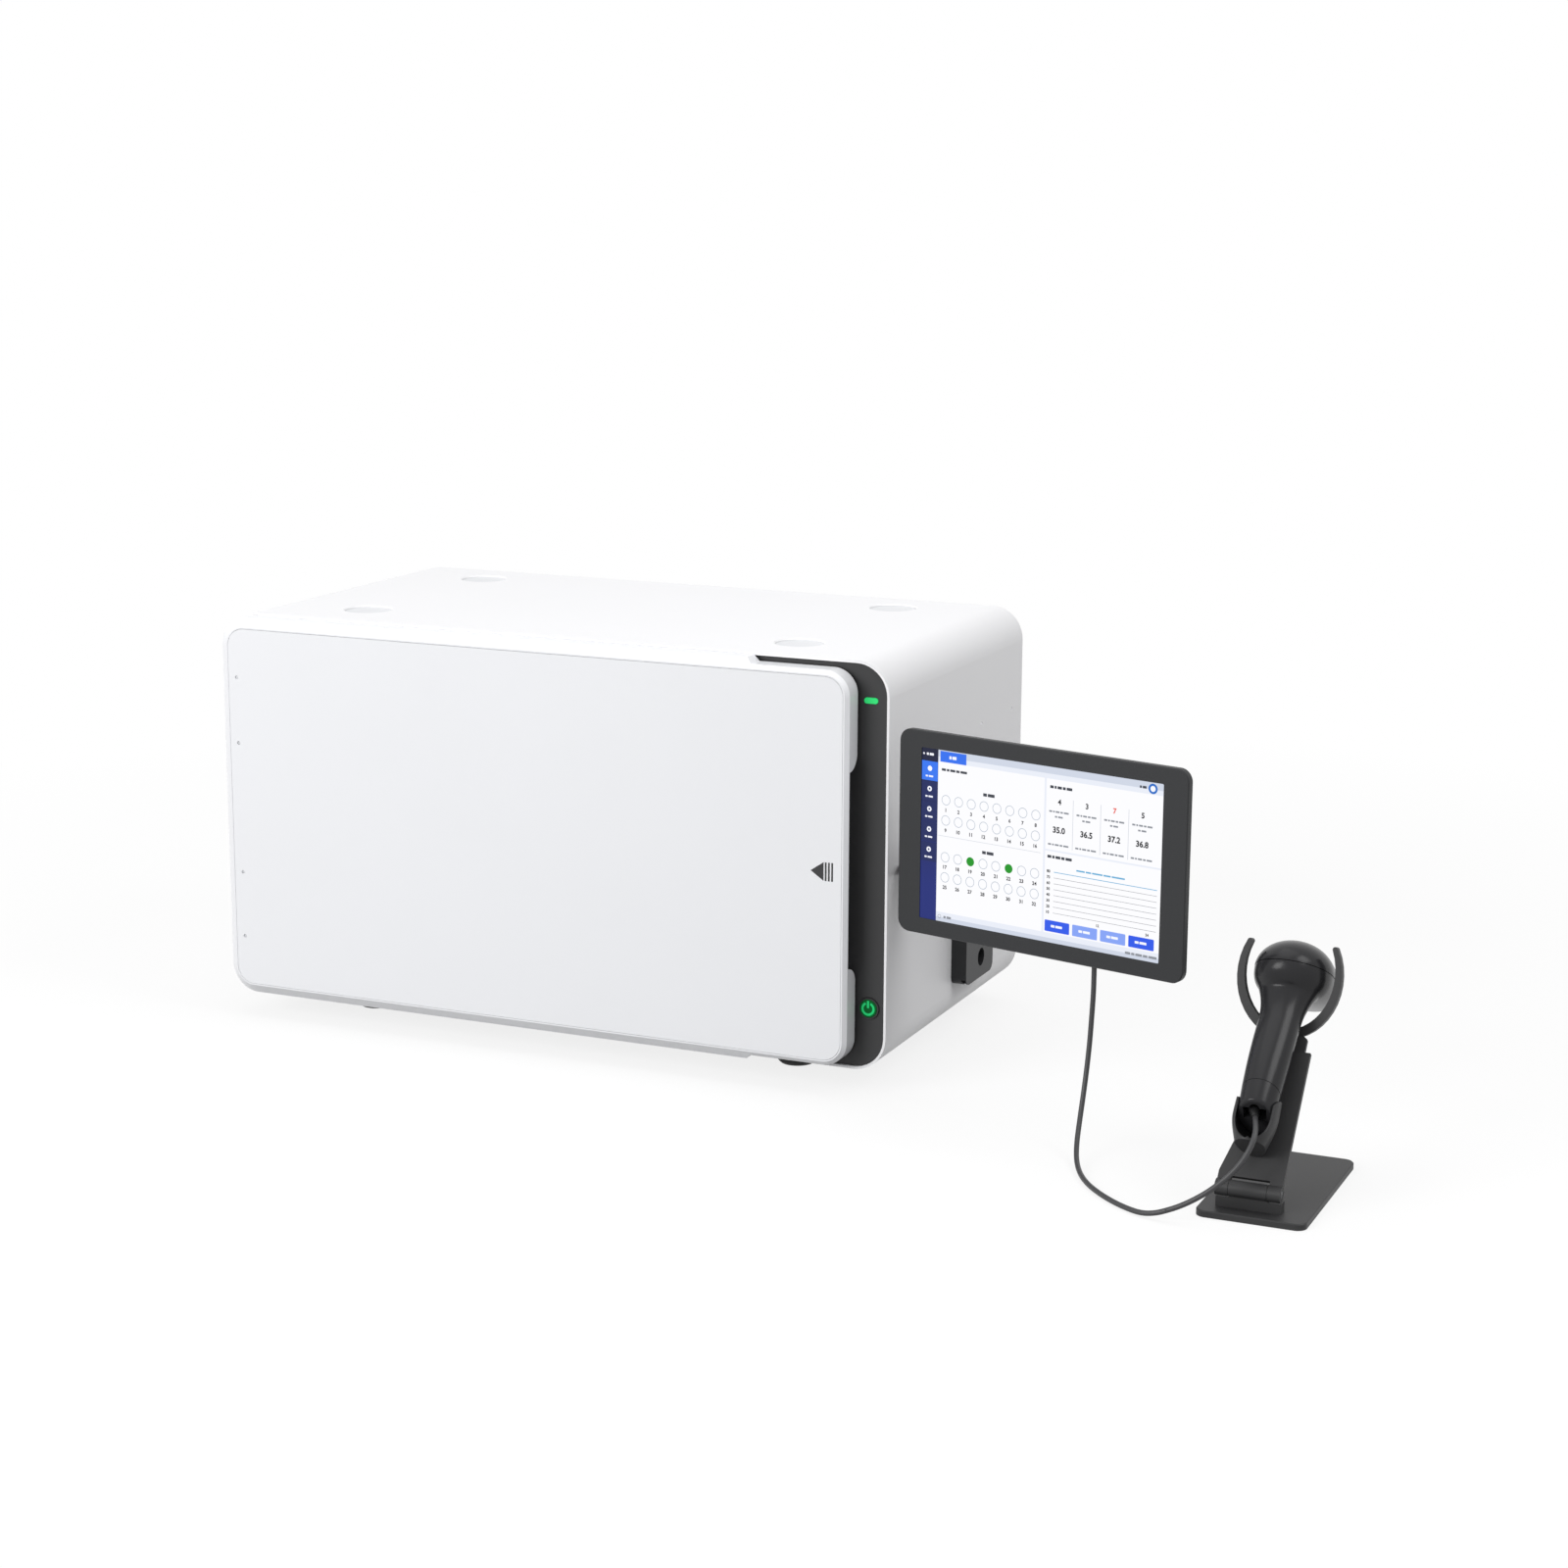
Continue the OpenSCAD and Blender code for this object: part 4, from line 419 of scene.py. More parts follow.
class Workshop:
    """Holds the finishes and puts meshes into the scene."""

    def __init__(self, axes: CabinetAxes, nodes: dict[str, bpy.types.Object]) -> None:
        """Make the material of every finish.

        Args:
            axes: The cabinet's axes.
            nodes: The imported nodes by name.
        """
        self.axes = axes
        self.nodes = nodes
        self.groups = ShaderGroups()
        self.materials = {finish.name: finish.build(self.groups) for finish in FINISHES}

    def dress_nodes(self) -> None:
        """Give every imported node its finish."""
        for name, members in NODE_FINISHES.items():
            for member in members:
                mesh = self.nodes[member].data
                mesh.materials.clear()
                mesh.materials.append(self.materials[name])
            LOG.info("%s dresses %s", name, ", ".join(members))

    def add(self, name: str, points: np.ndarray, faces: Iterable[Sequence[int]],
            material: str | bpy.types.Material, body: str | None,
            smooth: bool = False) -> bpy.types.Object:
        """Make an object from points and faces and let it ride on a body.

        Args:
            name: The piece's name.
            points: Rows of points in metres in the model's frame.
            faces: Lists of point numbers, turning left as seen from outside.
            material: A finish's name or a material.
            body: The body that carries it, or None, which leaves it on no body.
            smooth: Whether its faces are shaded smooth.

        Returns:
            The new object, at the origin.
        """
        mesh = bpy.data.meshes.new(name)
        mesh.from_pydata(np.asarray(points, float).tolist(), [], [list(face) for face in faces])
        mesh.polygons.foreach_set("use_smooth", np.full(len(mesh.polygons), smooth))
        mesh.materials.append(self.materials[material] if isinstance(material, str) else material)
        mesh.update()
        piece = bpy.data.objects.new(name, mesh)
        bpy.context.scene.collection.objects.link(piece)
        if body is not None:
            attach(piece, body)
        LOG.info("%s: %d faces", name, len(mesh.polygons))
        return piece


class Outlines:
    """Collects flat outlines and ready skins, to be made one piece."""

    def __init__(self) -> None:
        """Start with no points and no faces."""
        self.points: list[np.ndarray] = []
        self.faces: list[list[int]] = []
        self.count = 0

    def polygon(self, outline: np.ndarray) -> None:
        """Add one flat face.

        Args:
            outline: Its points in order.
        """
        self.points.append(outline)
        self.faces.append(list(range(self.count, self.count + len(outline))))
        self.count += len(outline)

    def strip(self, outer: np.ndarray, inner: np.ndarray, closed: bool = True) -> None:
        """Add the band between two outlines with as many points each.

        Args:
            outer: Points of the outer line.
            inner: Points of the inner line.
            closed: Whether the band joins its own start.
        """
        n = len(outer)
        self.points.append(np.concatenate([outer, inner]))
        base = self.count
        for k in range(n if closed else n - 1):
            after = (k + 1) % n
            self.faces.append([base + k, base + after, base + n + after, base + n + k])
        self.count += 2 * n

    def mesh(self, points: np.ndarray, faces: list[list[int]]) -> None:
        """Add ready points and faces, such as those of a numeral.

        Args:
            points: Rows of points.
            faces: Lists of numbers of these points.
        """
        self.points.append(points)
        self.faces.extend([[self.count + k for k in face] for face in faces])
        self.count += len(points)

    def joined(self) -> np.ndarray:
        """Return all points as one array."""
        return np.concatenate(self.points)


def loft(rings: np.ndarray) -> Skin:
    """Join rings of points into one closed skin.

    Args:
        rings: Points as rows of rings, each ring turning left as seen from past the last one.

    Returns:
        All points as rows, and the faces with both ends closed.
    """
    count, sides = rings.shape[:2]
    faces = grid_faces(count, sides)
    faces.append(list(range(sides))[::-1])
    faces.append([(count - 1) * sides + k for k in range(sides)])
    return rings.reshape(-1, 3), faces


def grid_faces(rows: int, columns: int) -> list[list[int]]:
    """Return the quads of a grid that closes on itself along its rows.

    Args:
        rows: Number of rings.
        columns: Points in each ring.

    Returns:
        One list of four point numbers per quad.
    """
    row = np.arange(rows - 1)[:, None] * columns
    here = np.arange(columns)[None, :]
    after = (here + 1) % columns
    quads = np.stack([row + here, row + after, row + columns + after, row + columns + here], axis=-1)
    return quads.reshape(-1, 4).tolist()


def circle(centre: Sequence[float], radius: float, count: int = 36, start: float = 0.0,
           sweep: float = 2 * math.pi) -> np.ndarray:
    """Return points on a circle or on a part of one.

    A full circle leaves its end point out, and a part holds both of its ends.

    Args:
        centre: Its middle.
        radius: Its radius.
        count: How many points.
        start: Angle of the first point.
        sweep: Angle from the first point to the end.

    Returns:
        Rows of two coordinates.
    """
    whole = abs(sweep) >= 2 * math.pi - 1e-9
    angle = start + np.linspace(0, sweep, count, endpoint=not whole)
    return np.stack([centre[0] + radius * np.cos(angle), centre[1] + radius * np.sin(angle)], axis=-1)


def rectangle(left: float, low: float, right: float, high: float, radius: float = 0.0) -> np.ndarray:
    """Return the outline of a rectangle, with quarter circles for corners if it has a radius.

    Args:
        left: Its left edge.
        low: Its lower edge.
        right: Its right edge.
        high: Its upper edge.
        radius: The corners' radius.

    Returns:
        Rows of two coordinates.
    """
    if radius <= 0:
        return np.array([(left, low), (right, low), (right, high), (left, high)], float)
    corners = ((right - radius, low + radius, -0.5), (right - radius, high - radius, 0.0),
               (left + radius, high - radius, 0.5), (left + radius, low + radius, 1.0))
    return np.concatenate([circle((x, y), radius, 5, turn * math.pi, math.pi / 2)
                           for x, y, turn in corners])


def numeral(text: str) -> Skin:
    """Make the flat mesh of a number, one unit high and centred on its own middle.

    Args:
        text: Figures and a point, nothing else.

    Returns:
        Rows of two coordinates, and the faces.
    """
    curve = bpy.data.curves.new("numeral", "FONT")
    curve.body = text
    curve.resolution_u = 3
    curve.offset = NUMERAL_WEIGHT
    source = bpy.data.objects.new("numeral", curve)
    bpy.context.scene.collection.objects.link(source)
    graph = bpy.context.evaluated_depsgraph_get()
    mesh = bpy.data.meshes.new_from_object(source.evaluated_get(graph))
    flat = np.empty(len(mesh.vertices) * 3)
    mesh.vertices.foreach_get("co", flat)
    flat = flat.reshape(-1, 3)[:, :2]
    faces = [list(face.vertices) for face in mesh.polygons]
    low, high = flat.min(0), flat.max(0)
    flat = (flat - (low + high) / 2) / max(high[1] - low[1], 1e-6)
    bpy.data.objects.remove(source)
    bpy.data.curves.remove(curve)
    bpy.data.meshes.remove(mesh)
    return flat, faces


@dataclass
class Studio:
    """Camera, lamps, floor and backdrop."""

    axes: CabinetAxes
    camera_mm: tuple[float, float, float] = (1169.2, -2154.2, 758.1)
    turn: float = math.radians(23.681)
    drop: float = math.radians(12.107)
    roll: float = math.radians(0.2816)
    focal_px: float = 3111.12
    sensor_mm: float = 36.0
    floor_size: float = 14.0
    floor_tone: float = 1.0
    bounce_tone: float = 0.26
    shadow_share: float = 0.18
    shadow_reach: float = 0.75
    sky: float = 0.5
    floor_drop: float = 0.0004
    lamp_aim: tuple[float, float, float] = (0.0, 0.0, 0.15)
    lamps: tuple = (
        ("key", (-1.5, -2.9, 1.5), 1.8, 74.0),
        ("top", (-0.2, 0.1, 2.8), 2.2, 13.0),
        ("side", (1.9, -0.2, 2.2), 1.2, 19.0),
    )

    def build(self) -> None:
        """Set the view transform and make all parts of the studio."""
        bpy.context.scene.view_settings.view_transform = "Standard"
        self.make_camera()
        self.make_world()
        self.make_floor()
        self.make_lamps()

    def make_camera(self) -> None:
        """Place the camera where the picture was taken from.

        The view direction has the bearing and the drop as angles, and the picture's axes are
        turned about it by the roll.
        """
        forward = Vector((-math.sin(self.turn) * math.cos(self.drop),
                          math.cos(self.turn) * math.cos(self.drop), -math.sin(self.drop)))
        right = Vector((math.cos(self.turn), math.sin(self.turn), 0.0))
        up = right.cross(forward)
        cos, sin = math.cos(self.roll), math.sin(self.roll)
        x_axis, y_axis = right * cos + up * sin, up * cos - right * sin
        data = bpy.data.cameras.new("camera")
        data.sensor_width = self.sensor_mm
        data.lens = self.focal_px / IMAGE_SIZE * self.sensor_mm
        data.clip_start, data.clip_end = 0.05, 60.0
        camera = bpy.data.objects.new("camera", data)
        bpy.context.scene.collection.objects.link(camera)
        place = Matrix((x_axis, y_axis, -forward)).transposed().to_4x4()
        place.translation = Vector(self.axes.points(self.camera_mm))
        camera.matrix_world = place
        bpy.context.scene.camera = camera

    def make_world(self) -> None:
        """White all round to the camera and in reflections, soft grey light otherwise."""
        world = bpy.data.worlds.new("studio")
        world.use_nodes = True
        tree = world.node_tree
        tree.nodes.clear()
        rays = tree.nodes.new("ShaderNodeLightPath")
        light = tree.nodes.new("ShaderNodeBackground")
        light.inputs["Strength"].default_value = self.sky
        white = tree.nodes.new("ShaderNodeBackground")
        white.inputs["Color"].default_value = (1.0, 1.0, 1.0, 1.0)
        mix = tree.nodes.new("ShaderNodeMixShader")
        out = tree.nodes.new("ShaderNodeOutputWorld")
        light.inputs["Color"].default_value = (1.0, 1.0, 1.0, 1.0)
        tree.links.new(self.seen_directly(tree, rays), mix.inputs[0])
        tree.links.new(light.outputs[0], mix.inputs[1])
        tree.links.new(white.outputs[0], mix.inputs[2])
        tree.links.new(mix.outputs[0], out.inputs[0])
        bpy.context.scene.world = world

    @staticmethod
    def seen_directly(tree: bpy.types.NodeTree, rays: bpy.types.Node) -> bpy.types.NodeSocket:
        """Return one for rays of the camera, of a reflection or through glass, and otherwise zero.

        Args:
            tree: The world's or the material's tree.
            rays: Its Light Path node.

        Returns:
            The output of the last of two Maximum nodes.
        """
        last = rays.outputs["Is Camera Ray"]
        for kind in ("Is Glossy Ray", "Is Transmission Ray"):
            larger = tree.nodes.new("ShaderNodeMath")
            larger.operation = "MAXIMUM"
            tree.links.new(last, larger.inputs[0])
            tree.links.new(rays.outputs[kind], larger.inputs[1])
            last = larger.outputs[0]
        return last

    def make_floor(self) -> None:
        """A white floor whose soft shadow stays faint, and whose far part is plain white."""
        half = self.floor_size / 2
        mesh = bpy.data.meshes.new("floor")
        mesh.from_pydata([(-half, -half, 0), (half, -half, 0), (half, half, 0), (-half, half, 0)],
                         [], [(0, 1, 2, 3)])
        material = bpy.data.materials.new("floor_white")
        material.use_nodes = True
        tree = material.node_tree
        tree.nodes.clear()
        rays = tree.nodes.new("ShaderNodeLightPath")
        glow = tree.nodes.new("ShaderNodeEmission")
        glow.inputs["Color"].default_value = (1.0, 1.0, 1.0, 1.0)
        matte = tree.nodes.new("ShaderNodeBsdfDiffuse")
        tone = tree.nodes.new("ShaderNodeMapRange")
        tone.inputs["To Min"].default_value = self.bounce_tone
        tone.inputs["To Max"].default_value = self.floor_tone
        tree.links.new(self.seen_directly(tree, rays), tone.inputs["Value"])
        tree.links.new(tone.outputs["Result"], matte.inputs["Color"])
        place = tree.nodes.new("ShaderNodeTexCoord")
        reach = tree.nodes.new("ShaderNodeVectorMath")
        reach.operation = "LENGTH"
        tree.links.new(place.outputs["Object"], reach.inputs[0])
        fade = tree.nodes.new("ShaderNodeMapRange")
        fade.inputs["From Min"].default_value = self.shadow_reach
        fade.inputs["From Max"].default_value = 2 * self.shadow_reach
        fade.inputs["To Min"].default_value = 1 - self.shadow_share
        fade.inputs["To Max"].default_value = 1.0
        tree.links.new(reach.outputs["Value"], fade.inputs["Value"])
        share = tree.nodes.new("ShaderNodeMath")
        share.operation = "MULTIPLY"
        tree.links.new(fade.outputs["Result"], share.inputs[1])
        mix = tree.nodes.new("ShaderNodeMixShader")
        out = tree.nodes.new("ShaderNodeOutputMaterial")
        tree.links.new(self.seen_directly(tree, rays), share.inputs[0])
        tree.links.new(share.outputs[0], mix.inputs[0])
        tree.links.new(matte.outputs[0], mix.inputs[1])
        tree.links.new(glow.outputs[0], mix.inputs[2])
        tree.links.new(mix.outputs[0], out.inputs[0])
        mesh.materials.append(material)
        floor = bpy.data.objects.new("floor", mesh)
        floor.location.z = -self.floor_drop
        bpy.context.scene.collection.objects.link(floor)

    def make_lamps(self) -> None:
        """A broad lamp above the front left, a weak one overhead and one at the right."""
        for name, spot, size, watts in self.lamps:
            data = bpy.data.lights.new(name, "AREA")
            data.size = size
            data.energy = watts
            lamp = bpy.data.objects.new(name, data)
            lamp.location = spot
            aim = Vector(self.lamp_aim) - Vector(spot)
            lamp.rotation_mode = "QUATERNION"
            lamp.rotation_quaternion = aim.to_track_quat("-Z", "Y")
            bpy.context.scene.collection.objects.link(lamp)


@dataclass
class Cord:
    """The scanner's cord: down from the monitor, along the bench and up to the handle."""

    shop: Workshop
    diameter_mm: float = 4.0
    sides: int = 20
    steps: int = 12
    bench_mm: tuple = (
        (490, -19, 142.6), (490, -19, 132), (490, -19.5, 118), (489.5, -20.5, 100), (489, -22.5, 80),
        (488.5, -26.5, 60), (488.5, -33, 42), (489.5, -43, 26), (492.5, -58, 12.5), (498.5, -76, 5.5),
        (507.5, -95, 2.6), (519.5, -114, 2.2), (534, -130.5, 2.2), (550, -144.5, 2.2),
        (565, -154, 2.2), (575.5, -158.6, 2.8), (585, -160.9, 5), (594, -161.5, 8.5),
    )
    scanner_mm: tuple = (
        (594, -161.5, 8.5), (603.5, -161.8, 13.2), (613, -161, 18.9), (622.3, -158.8, 25.4),
        (631, -155.8, 32.9), (638.4, -152.8, 40.6), (644.2, -149.6, 48.6), (648, -145.8, 56.3),
        (649.6, -141, 62.8), (649.2, -134.8, 67.9), (647.3, -128.2, 71), (645.4, -122.5, 72.9),
    )
    lift: tuple[float, float, float] = (0.911, -0.045, 0.41)
    entry: tuple[float, float, float] = (-0.302, 0.905, 0.302)
    first_side: tuple[float, float, float] = (0.3, 0.9, 0.2)
    knot_on_bench: int = 9

    def smooth_route(self, mm: Sequence, first: Sequence | None, last: Sequence | None) -> np.ndarray:
        """Draw one smooth curve through the route's points.

        Each stretch is a cubic with the slope at a point set by its two neighbours, and the
        first and last slopes can be given.

        Args:
            mm: The route's points in millimetres.
            first: Direction at the start, or None.
            last: Direction at the end, or None.

        Returns:
            Points along the curve in metres in the model's frame.
        """
        knots = self.shop.axes.points(mm)
        slopes = np.gradient(knots, axis=0)
        if first is not None:
            slopes[0] = np.array(first, float) * np.linalg.norm(knots[1] - knots[0])
        if last is not None:
            slopes[-1] = np.array(last, float) * np.linalg.norm(knots[-1] - knots[-2])
        t = np.linspace(0, 1, self.steps, endpoint=False)[None, :, None]
        a, b, u, v = (part[:, None, :] for part in (knots[:-1], knots[1:], slopes[:-1], slopes[1:]))
        curve = ((2 * t**3 - 3 * t**2 + 1) * a + (t**3 - 2 * t**2 + t) * u
                 + (3 * t**2 - 2 * t**3) * b + (t**3 - t**2) * v)
        return np.concatenate([curve.reshape(-1, 3), knots[-1:]])

    def tube(self, name: str, route: np.ndarray, node: str) -> bpy.types.Object:
        """Sweep a round section along the route.

        A frame is carried along the curve without twist: at each point the side vector is the
        last one with its part along the new direction taken away.

        Args:
            name: The piece's name.
            route: Points along the curve.
            node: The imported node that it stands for.

        Returns:
            The tube, riding on nothing yet.
        """
        heading = np.gradient(route, axis=0)
        heading /= np.linalg.norm(heading, axis=1, keepdims=True)
        sides = np.empty_like(route)
        side = np.cross(heading[0], self.first_side)
        for k, ahead in enumerate(heading):
            side = side - ahead * (side @ ahead)
            side /= np.linalg.norm(side)
            sides[k] = side
        other = np.cross(heading, sides)
        angle = np.linspace(0, 2 * math.pi, self.sides, endpoint=False)
        radius = self.diameter_mm / 2 * MM
        ring = (np.cos(angle)[None, :, None] * sides[:, None, :]
                + np.sin(angle)[None, :, None] * other[:, None, :])
        points = route[:, None, :] + radius * ring
        piece = self.shop.add(name, *loft(points), "cord_jacket", None, smooth=True)
        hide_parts(node)
        return piece

    def build(self) -> None:
        """Make both stretches, each as one fixed piece in the frame, and hide the cord's nodes."""
        down = self.smooth_route(self.bench_mm, (0, 0, -1), self.lift)
        rise = self.smooth_route(self.scanner_mm, self.lift, self.entry)
        first = self.tube("cord_monitor_to_bench", down, "cord_to_bench")
        second = self.tube("cord_bench_to_scanner", rise, "cord_to_scanner")
        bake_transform(first)
        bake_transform(second)


@dataclass
class Scanner:
    """The hand scanner's skin: a leaning handle that grows into a domed head.

    Both are ring sections, much as in the solid model, with a fuller flare into the head. They
    are joined, made one skin by a voxel remesh and smoothed, so that the handle flows into the
    head. Then the port, the trigger's slot, the window's recess and the collar's line are cut,
    and the head is parted in two. Lengths are millimetres along the post's axes.
    """

    shop: Workshop
    post: PostAxes
    sides: int = 96
    heel: float = 46.0
    handle_top: float = 160.0
    grip_half_w: float = 15.6
    grip_half_d: float = 13.6
    heel_slim: float = 2.4
    heel_rate: float = 1.6
    heel_slant: float = 0.58
    flare_from: float = 0.7
    flare_side: float = 10.5
    flare_rear: float = 9.0
    flare_front: float = 4.0
    lean_up: float = 38.0
    lean_back: float = -26.0
    lean_slope: float = 0.049
    lean_curve: float = 0.00098
    head_up: float = 172.0
    head_rear: float = -37.0
    head_nose: float = 52.0
    head_rise: float = 0.15
    head_half_w: float = 29.0
    head_half_h: float = 24.0
    dome_end: float = 0.4
    nose_taper: float = 0.16
    nose_lift: float = 0.27
    nose_round: float = 0.06
    nose_round_from: float = 0.97
    bowl: float = 0.8
    parting_extra: float = math.radians(1.2)
    parting_gap: float = 0.4
    cap_proud: float = 0.25
    handle_rings: int = 60
    head_rings: int = 70
    voxel: float = 0.75
    soften: int = 14
    sharp: float = math.radians(35)
    collar_at: float = 0.17
    collar_line: float = 0.5
    collar_reach: tuple[float, float] = (0.972, 1.08)
    port_half_w: float = 8.5
    port_half_h: float = 5.0
    port_arch: float = 3.6
    port_turn: float = math.radians(-30)
    port_back: float = -2.5
    port_up: float = 2.2
    port_reach: tuple[float, float] = (-6.0, 12.0)
    window_half_w: float = 17.0
    window_half_h: float = 6.5
    window_drop: float = 8.0
    window_reach: tuple[float, float] = (-5.0, 4.0)
    trigger_up: tuple[float, float] = (131.0, 145.0)
    trigger_back: float = 0.5
    trigger_half_w: float = 7.5
    trigger_gap: float = 1.0
    trigger_reach: tuple[float, float] = (-5.0, 22.0)

    def handle(self, t: np.ndarray, angle: np.ndarray, grow: float = 1.0) -> np.ndarray:
        """Place the handle's skin.

        Its middle line is a parabola that leans forward and curves up into the head. Each
        section is an ellipse that narrows by a square toward the heel and widens by a square
        from where the flare starts, and the heel's plane is slanted.

        Args:
            t: 0 at the heel, 1 in the head.
            angle: Angle round the handle.
            grow: Scale of the section.

        Returns:
            Points of the post's axes in millimetres.
        """
        up = self.heel + (self.handle_top - self.heel) * t
        neck = np.maximum(0, (t - self.flare_from) / (1 - self.flare_from)) ** 2
        slim = self.heel_slim * (1 - np.minimum(1, t * self.heel_rate)) ** 2
        half_x = (self.grip_half_w - slim + self.flare_side * neck) * grow
        flare = np.where(np.sin(angle) < 0, self.flare_rear, self.flare_front)
        half_y = (self.grip_half_d + flare * neck) * grow
        rise = up - self.lean_up
        middle = self.lean_back + self.lean_slope * rise + self.lean_curve * rise ** 2
        slope = -self.heel_slant * (1 - t) ** 2
        return np.stack(np.broadcast_arrays(
            half_x * np.cos(angle), middle + half_y * np.sin(angle),
            up + slope * half_y * np.sin(angle)), axis=-1)

    def head(self, t: np.ndarray, angle: np.ndarray) -> np.ndarray:
        """Place the head's skin.

        Sections stand square to its length. They grow as a quarter circle behind, shrink a
        little to the nose, are fuller than an oval below and less deep there toward the nose.

        Args:
            t: 0 behind, 1 at the nose.
            angle: Angle round the head, 0 at the right and a quarter turn below.

        Returns:
            Points of the post's axes in millimetres.
        """
        behind = np.maximum(0.0, self.dome_end - t) / self.dome_end
        ahead = np.maximum(0.0, t - self.dome_end) / (1 - self.dome_end)
        tip = np.maximum(0.0, (t - self.nose_round_from) / (1 - self.nose_round_from))
        dome = np.sqrt(np.maximum(0.01, 1 - behind ** 2))
        size = dome * (1 - self.nose_taper * ahead ** 2) * (1 - self.nose_round * tip ** 2)
        along = self.head_rear + (self.head_nose - self.head_rear) * t
        below = np.sin(angle) > 0
        depth = np.where(below, 1 - self.nose_lift * ahead, 1.0)
        middle = self.head_up + self.head_rise * along
        full = np.where(below, self.bowl, 1.0)
        across, down = (np.sign(part) * np.abs(part) ** full for part in (np.cos(angle), np.sin(angle)))
        return np.stack(np.broadcast_arrays(
            self.head_half_w * size * across, along,
            middle - self.head_half_h * size * depth * down), axis=-1)

    def temporary(self, name: str, parts: list[Skin]) -> bpy.types.Object:
        """Make an object from several closed skins, to be used up by a modifier.

        Args:
            name: The object's name.
            parts: The skins, in millimetres of the post's axes.

        Returns:
            The object.
        """
        shapes = Outlines()
        for points, faces in parts:
            shapes.mesh(self.post.points(points), faces)
        mesh = bpy.data.meshes.new(name)
        mesh.from_pydata(shapes.joined().tolist(), [], shapes.faces)
        piece = bpy.data.objects.new(name, mesh)
        bpy.context.scene.collection.objects.link(piece)
        return piece

    def baked(self, piece: bpy.types.Object) -> bpy.types.Mesh:
        """Apply an object's modifiers and remove the object.

        Args:
            piece: The object.

        Returns:
            Its mesh with the modifiers applied.
        """
        graph = bpy.context.evaluated_depsgraph_get()
        mesh = bpy.data.meshes.new_from_object(piece.evaluated_get(graph))
        bpy.data.objects.remove(piece)
        return mesh

    def block(self, half_w: float, y: tuple[float, float], z: tuple[float, float]) -> Skin:
        """Make a box that lies evenly about the post's middle.

        Args:
            half_w: Half its width.
            y: Where it starts and ends along the post's second axis.
            z: Where it starts and ends up the post.

        Returns:
            The box as a skin.
        """
        ring = rectangle(-half_w, y[0], half_w, y[1])
        return loft(np.stack([np.column_stack([ring, np.full(4, up)]) for up in z]))

    def port(self) -> Skin:
        """Make the cord's port: a slot with an arch in the middle of its upper edge.

        Returns:
            The port as a skin, turned so that it goes straight into the slanted heel.
        """
        half_w, half_h = self.port_half_w, self.port_half_h
        arch = circle((0.0, -half_h), self.port_arch, 9, math.pi, math.pi)
        flat = np.concatenate([[(-half_w, half_h), (-half_w, -half_h)], arch,
                               [(half_w, -half_h), (half_w, half_h)]])
        cos, sin = math.cos(self.port_turn), math.sin(self.port_turn)
        middle = self.handle(np.array(0.0), np.array(0.0))[1] + self.port_back
        rings = []
        for up in self.port_reach:
            y = middle + flat[:, 1] * cos - up * sin
            z = self.heel + self.port_up + flat[:, 1] * sin + up * cos
            rings.append(np.stack([flat[:, 0], y, z], axis=-1))
        return loft(np.stack(rings))

    def collar(self) -> Skin:
        """Make the fine groove round the handle near its heel.

        Returns:
            A closed ring of four corners that starts in the handle's wall.
        """
        angle = np.linspace(0, 2 * math.pi, self.sides, endpoint=False)
        step = self.collar_line / (self.handle_top - self.heel)
        inner, outer = self.collar_reach
        corners = ((0, outer), (0, inner), (step, inner), (step, outer))
        rings = [self.handle(np.array(self.collar_at + t), angle, grow) for t, grow in corners]
        points = np.stack(rings, axis=1).reshape(-1, 3)
        around = grid_faces(self.sides, 4)
        last = (self.sides - 1) * 4
        around += [[last + k, last + (k + 1) % 4, (k + 1) % 4, k] for k in range(4)]
        return points, around

    def build(self) -> None:
        """Blend the skin, cut it, part it and let both shells stand for their nodes."""
        angle = np.linspace(0, 2 * math.pi, self.sides, endpoint=False)[None, :]
        handle_t = np.linspace(0, 1, self.handle_rings)[:, None]
        head_t = (1 - np.cos(np.linspace(0, math.pi, self.head_rings)))[:, None] / 2
        whole = self.temporary("scanner_whole", [
            loft(self.handle(handle_t, angle)), loft(self.head(head_t, angle))])
        remesh = whole.modifiers.new("one_skin", "REMESH")
        remesh.mode = "VOXEL"
        remesh.voxel_size = self.voxel * MM
        smooth = whole.modifiers.new("soften", "SMOOTH")
        smooth.factor = 0.5
        smooth.iterations = self.soften
        window = self.head_up + self.head_rise * self.head_nose - self.window_drop
        cutter = self.temporary("scanner_cuts", [
            self.port(), self.collar(),
            self.block(self.window_half_w, tuple(self.head_nose + reach for reach in self.window_reach),
                       (window - self.window_half_h, window + self.window_half_h)),
            self.block(self.trigger_half_w, tuple(self.trigger_back + reach for reach in self.trigger_reach),
                       (self.trigger_up[0] - self.trigger_gap, self.trigger_up[1] + self.trigger_gap)),
        ])
        cut = whole.modifiers.new("cuts", "BOOLEAN")
        cut.operation = "DIFFERENCE"
        cut.solver = "EXACT"
        cut.object = cutter
        skin = self.baked(whole)
        bpy.data.objects.remove(cutter)
        self.part_off(skin, "scanner_lower_shell", "scanner_body", 0.0, False)
        self.part_off(skin, "scanner_upper_shell", "scanner_cap", self.parting_gap, True)

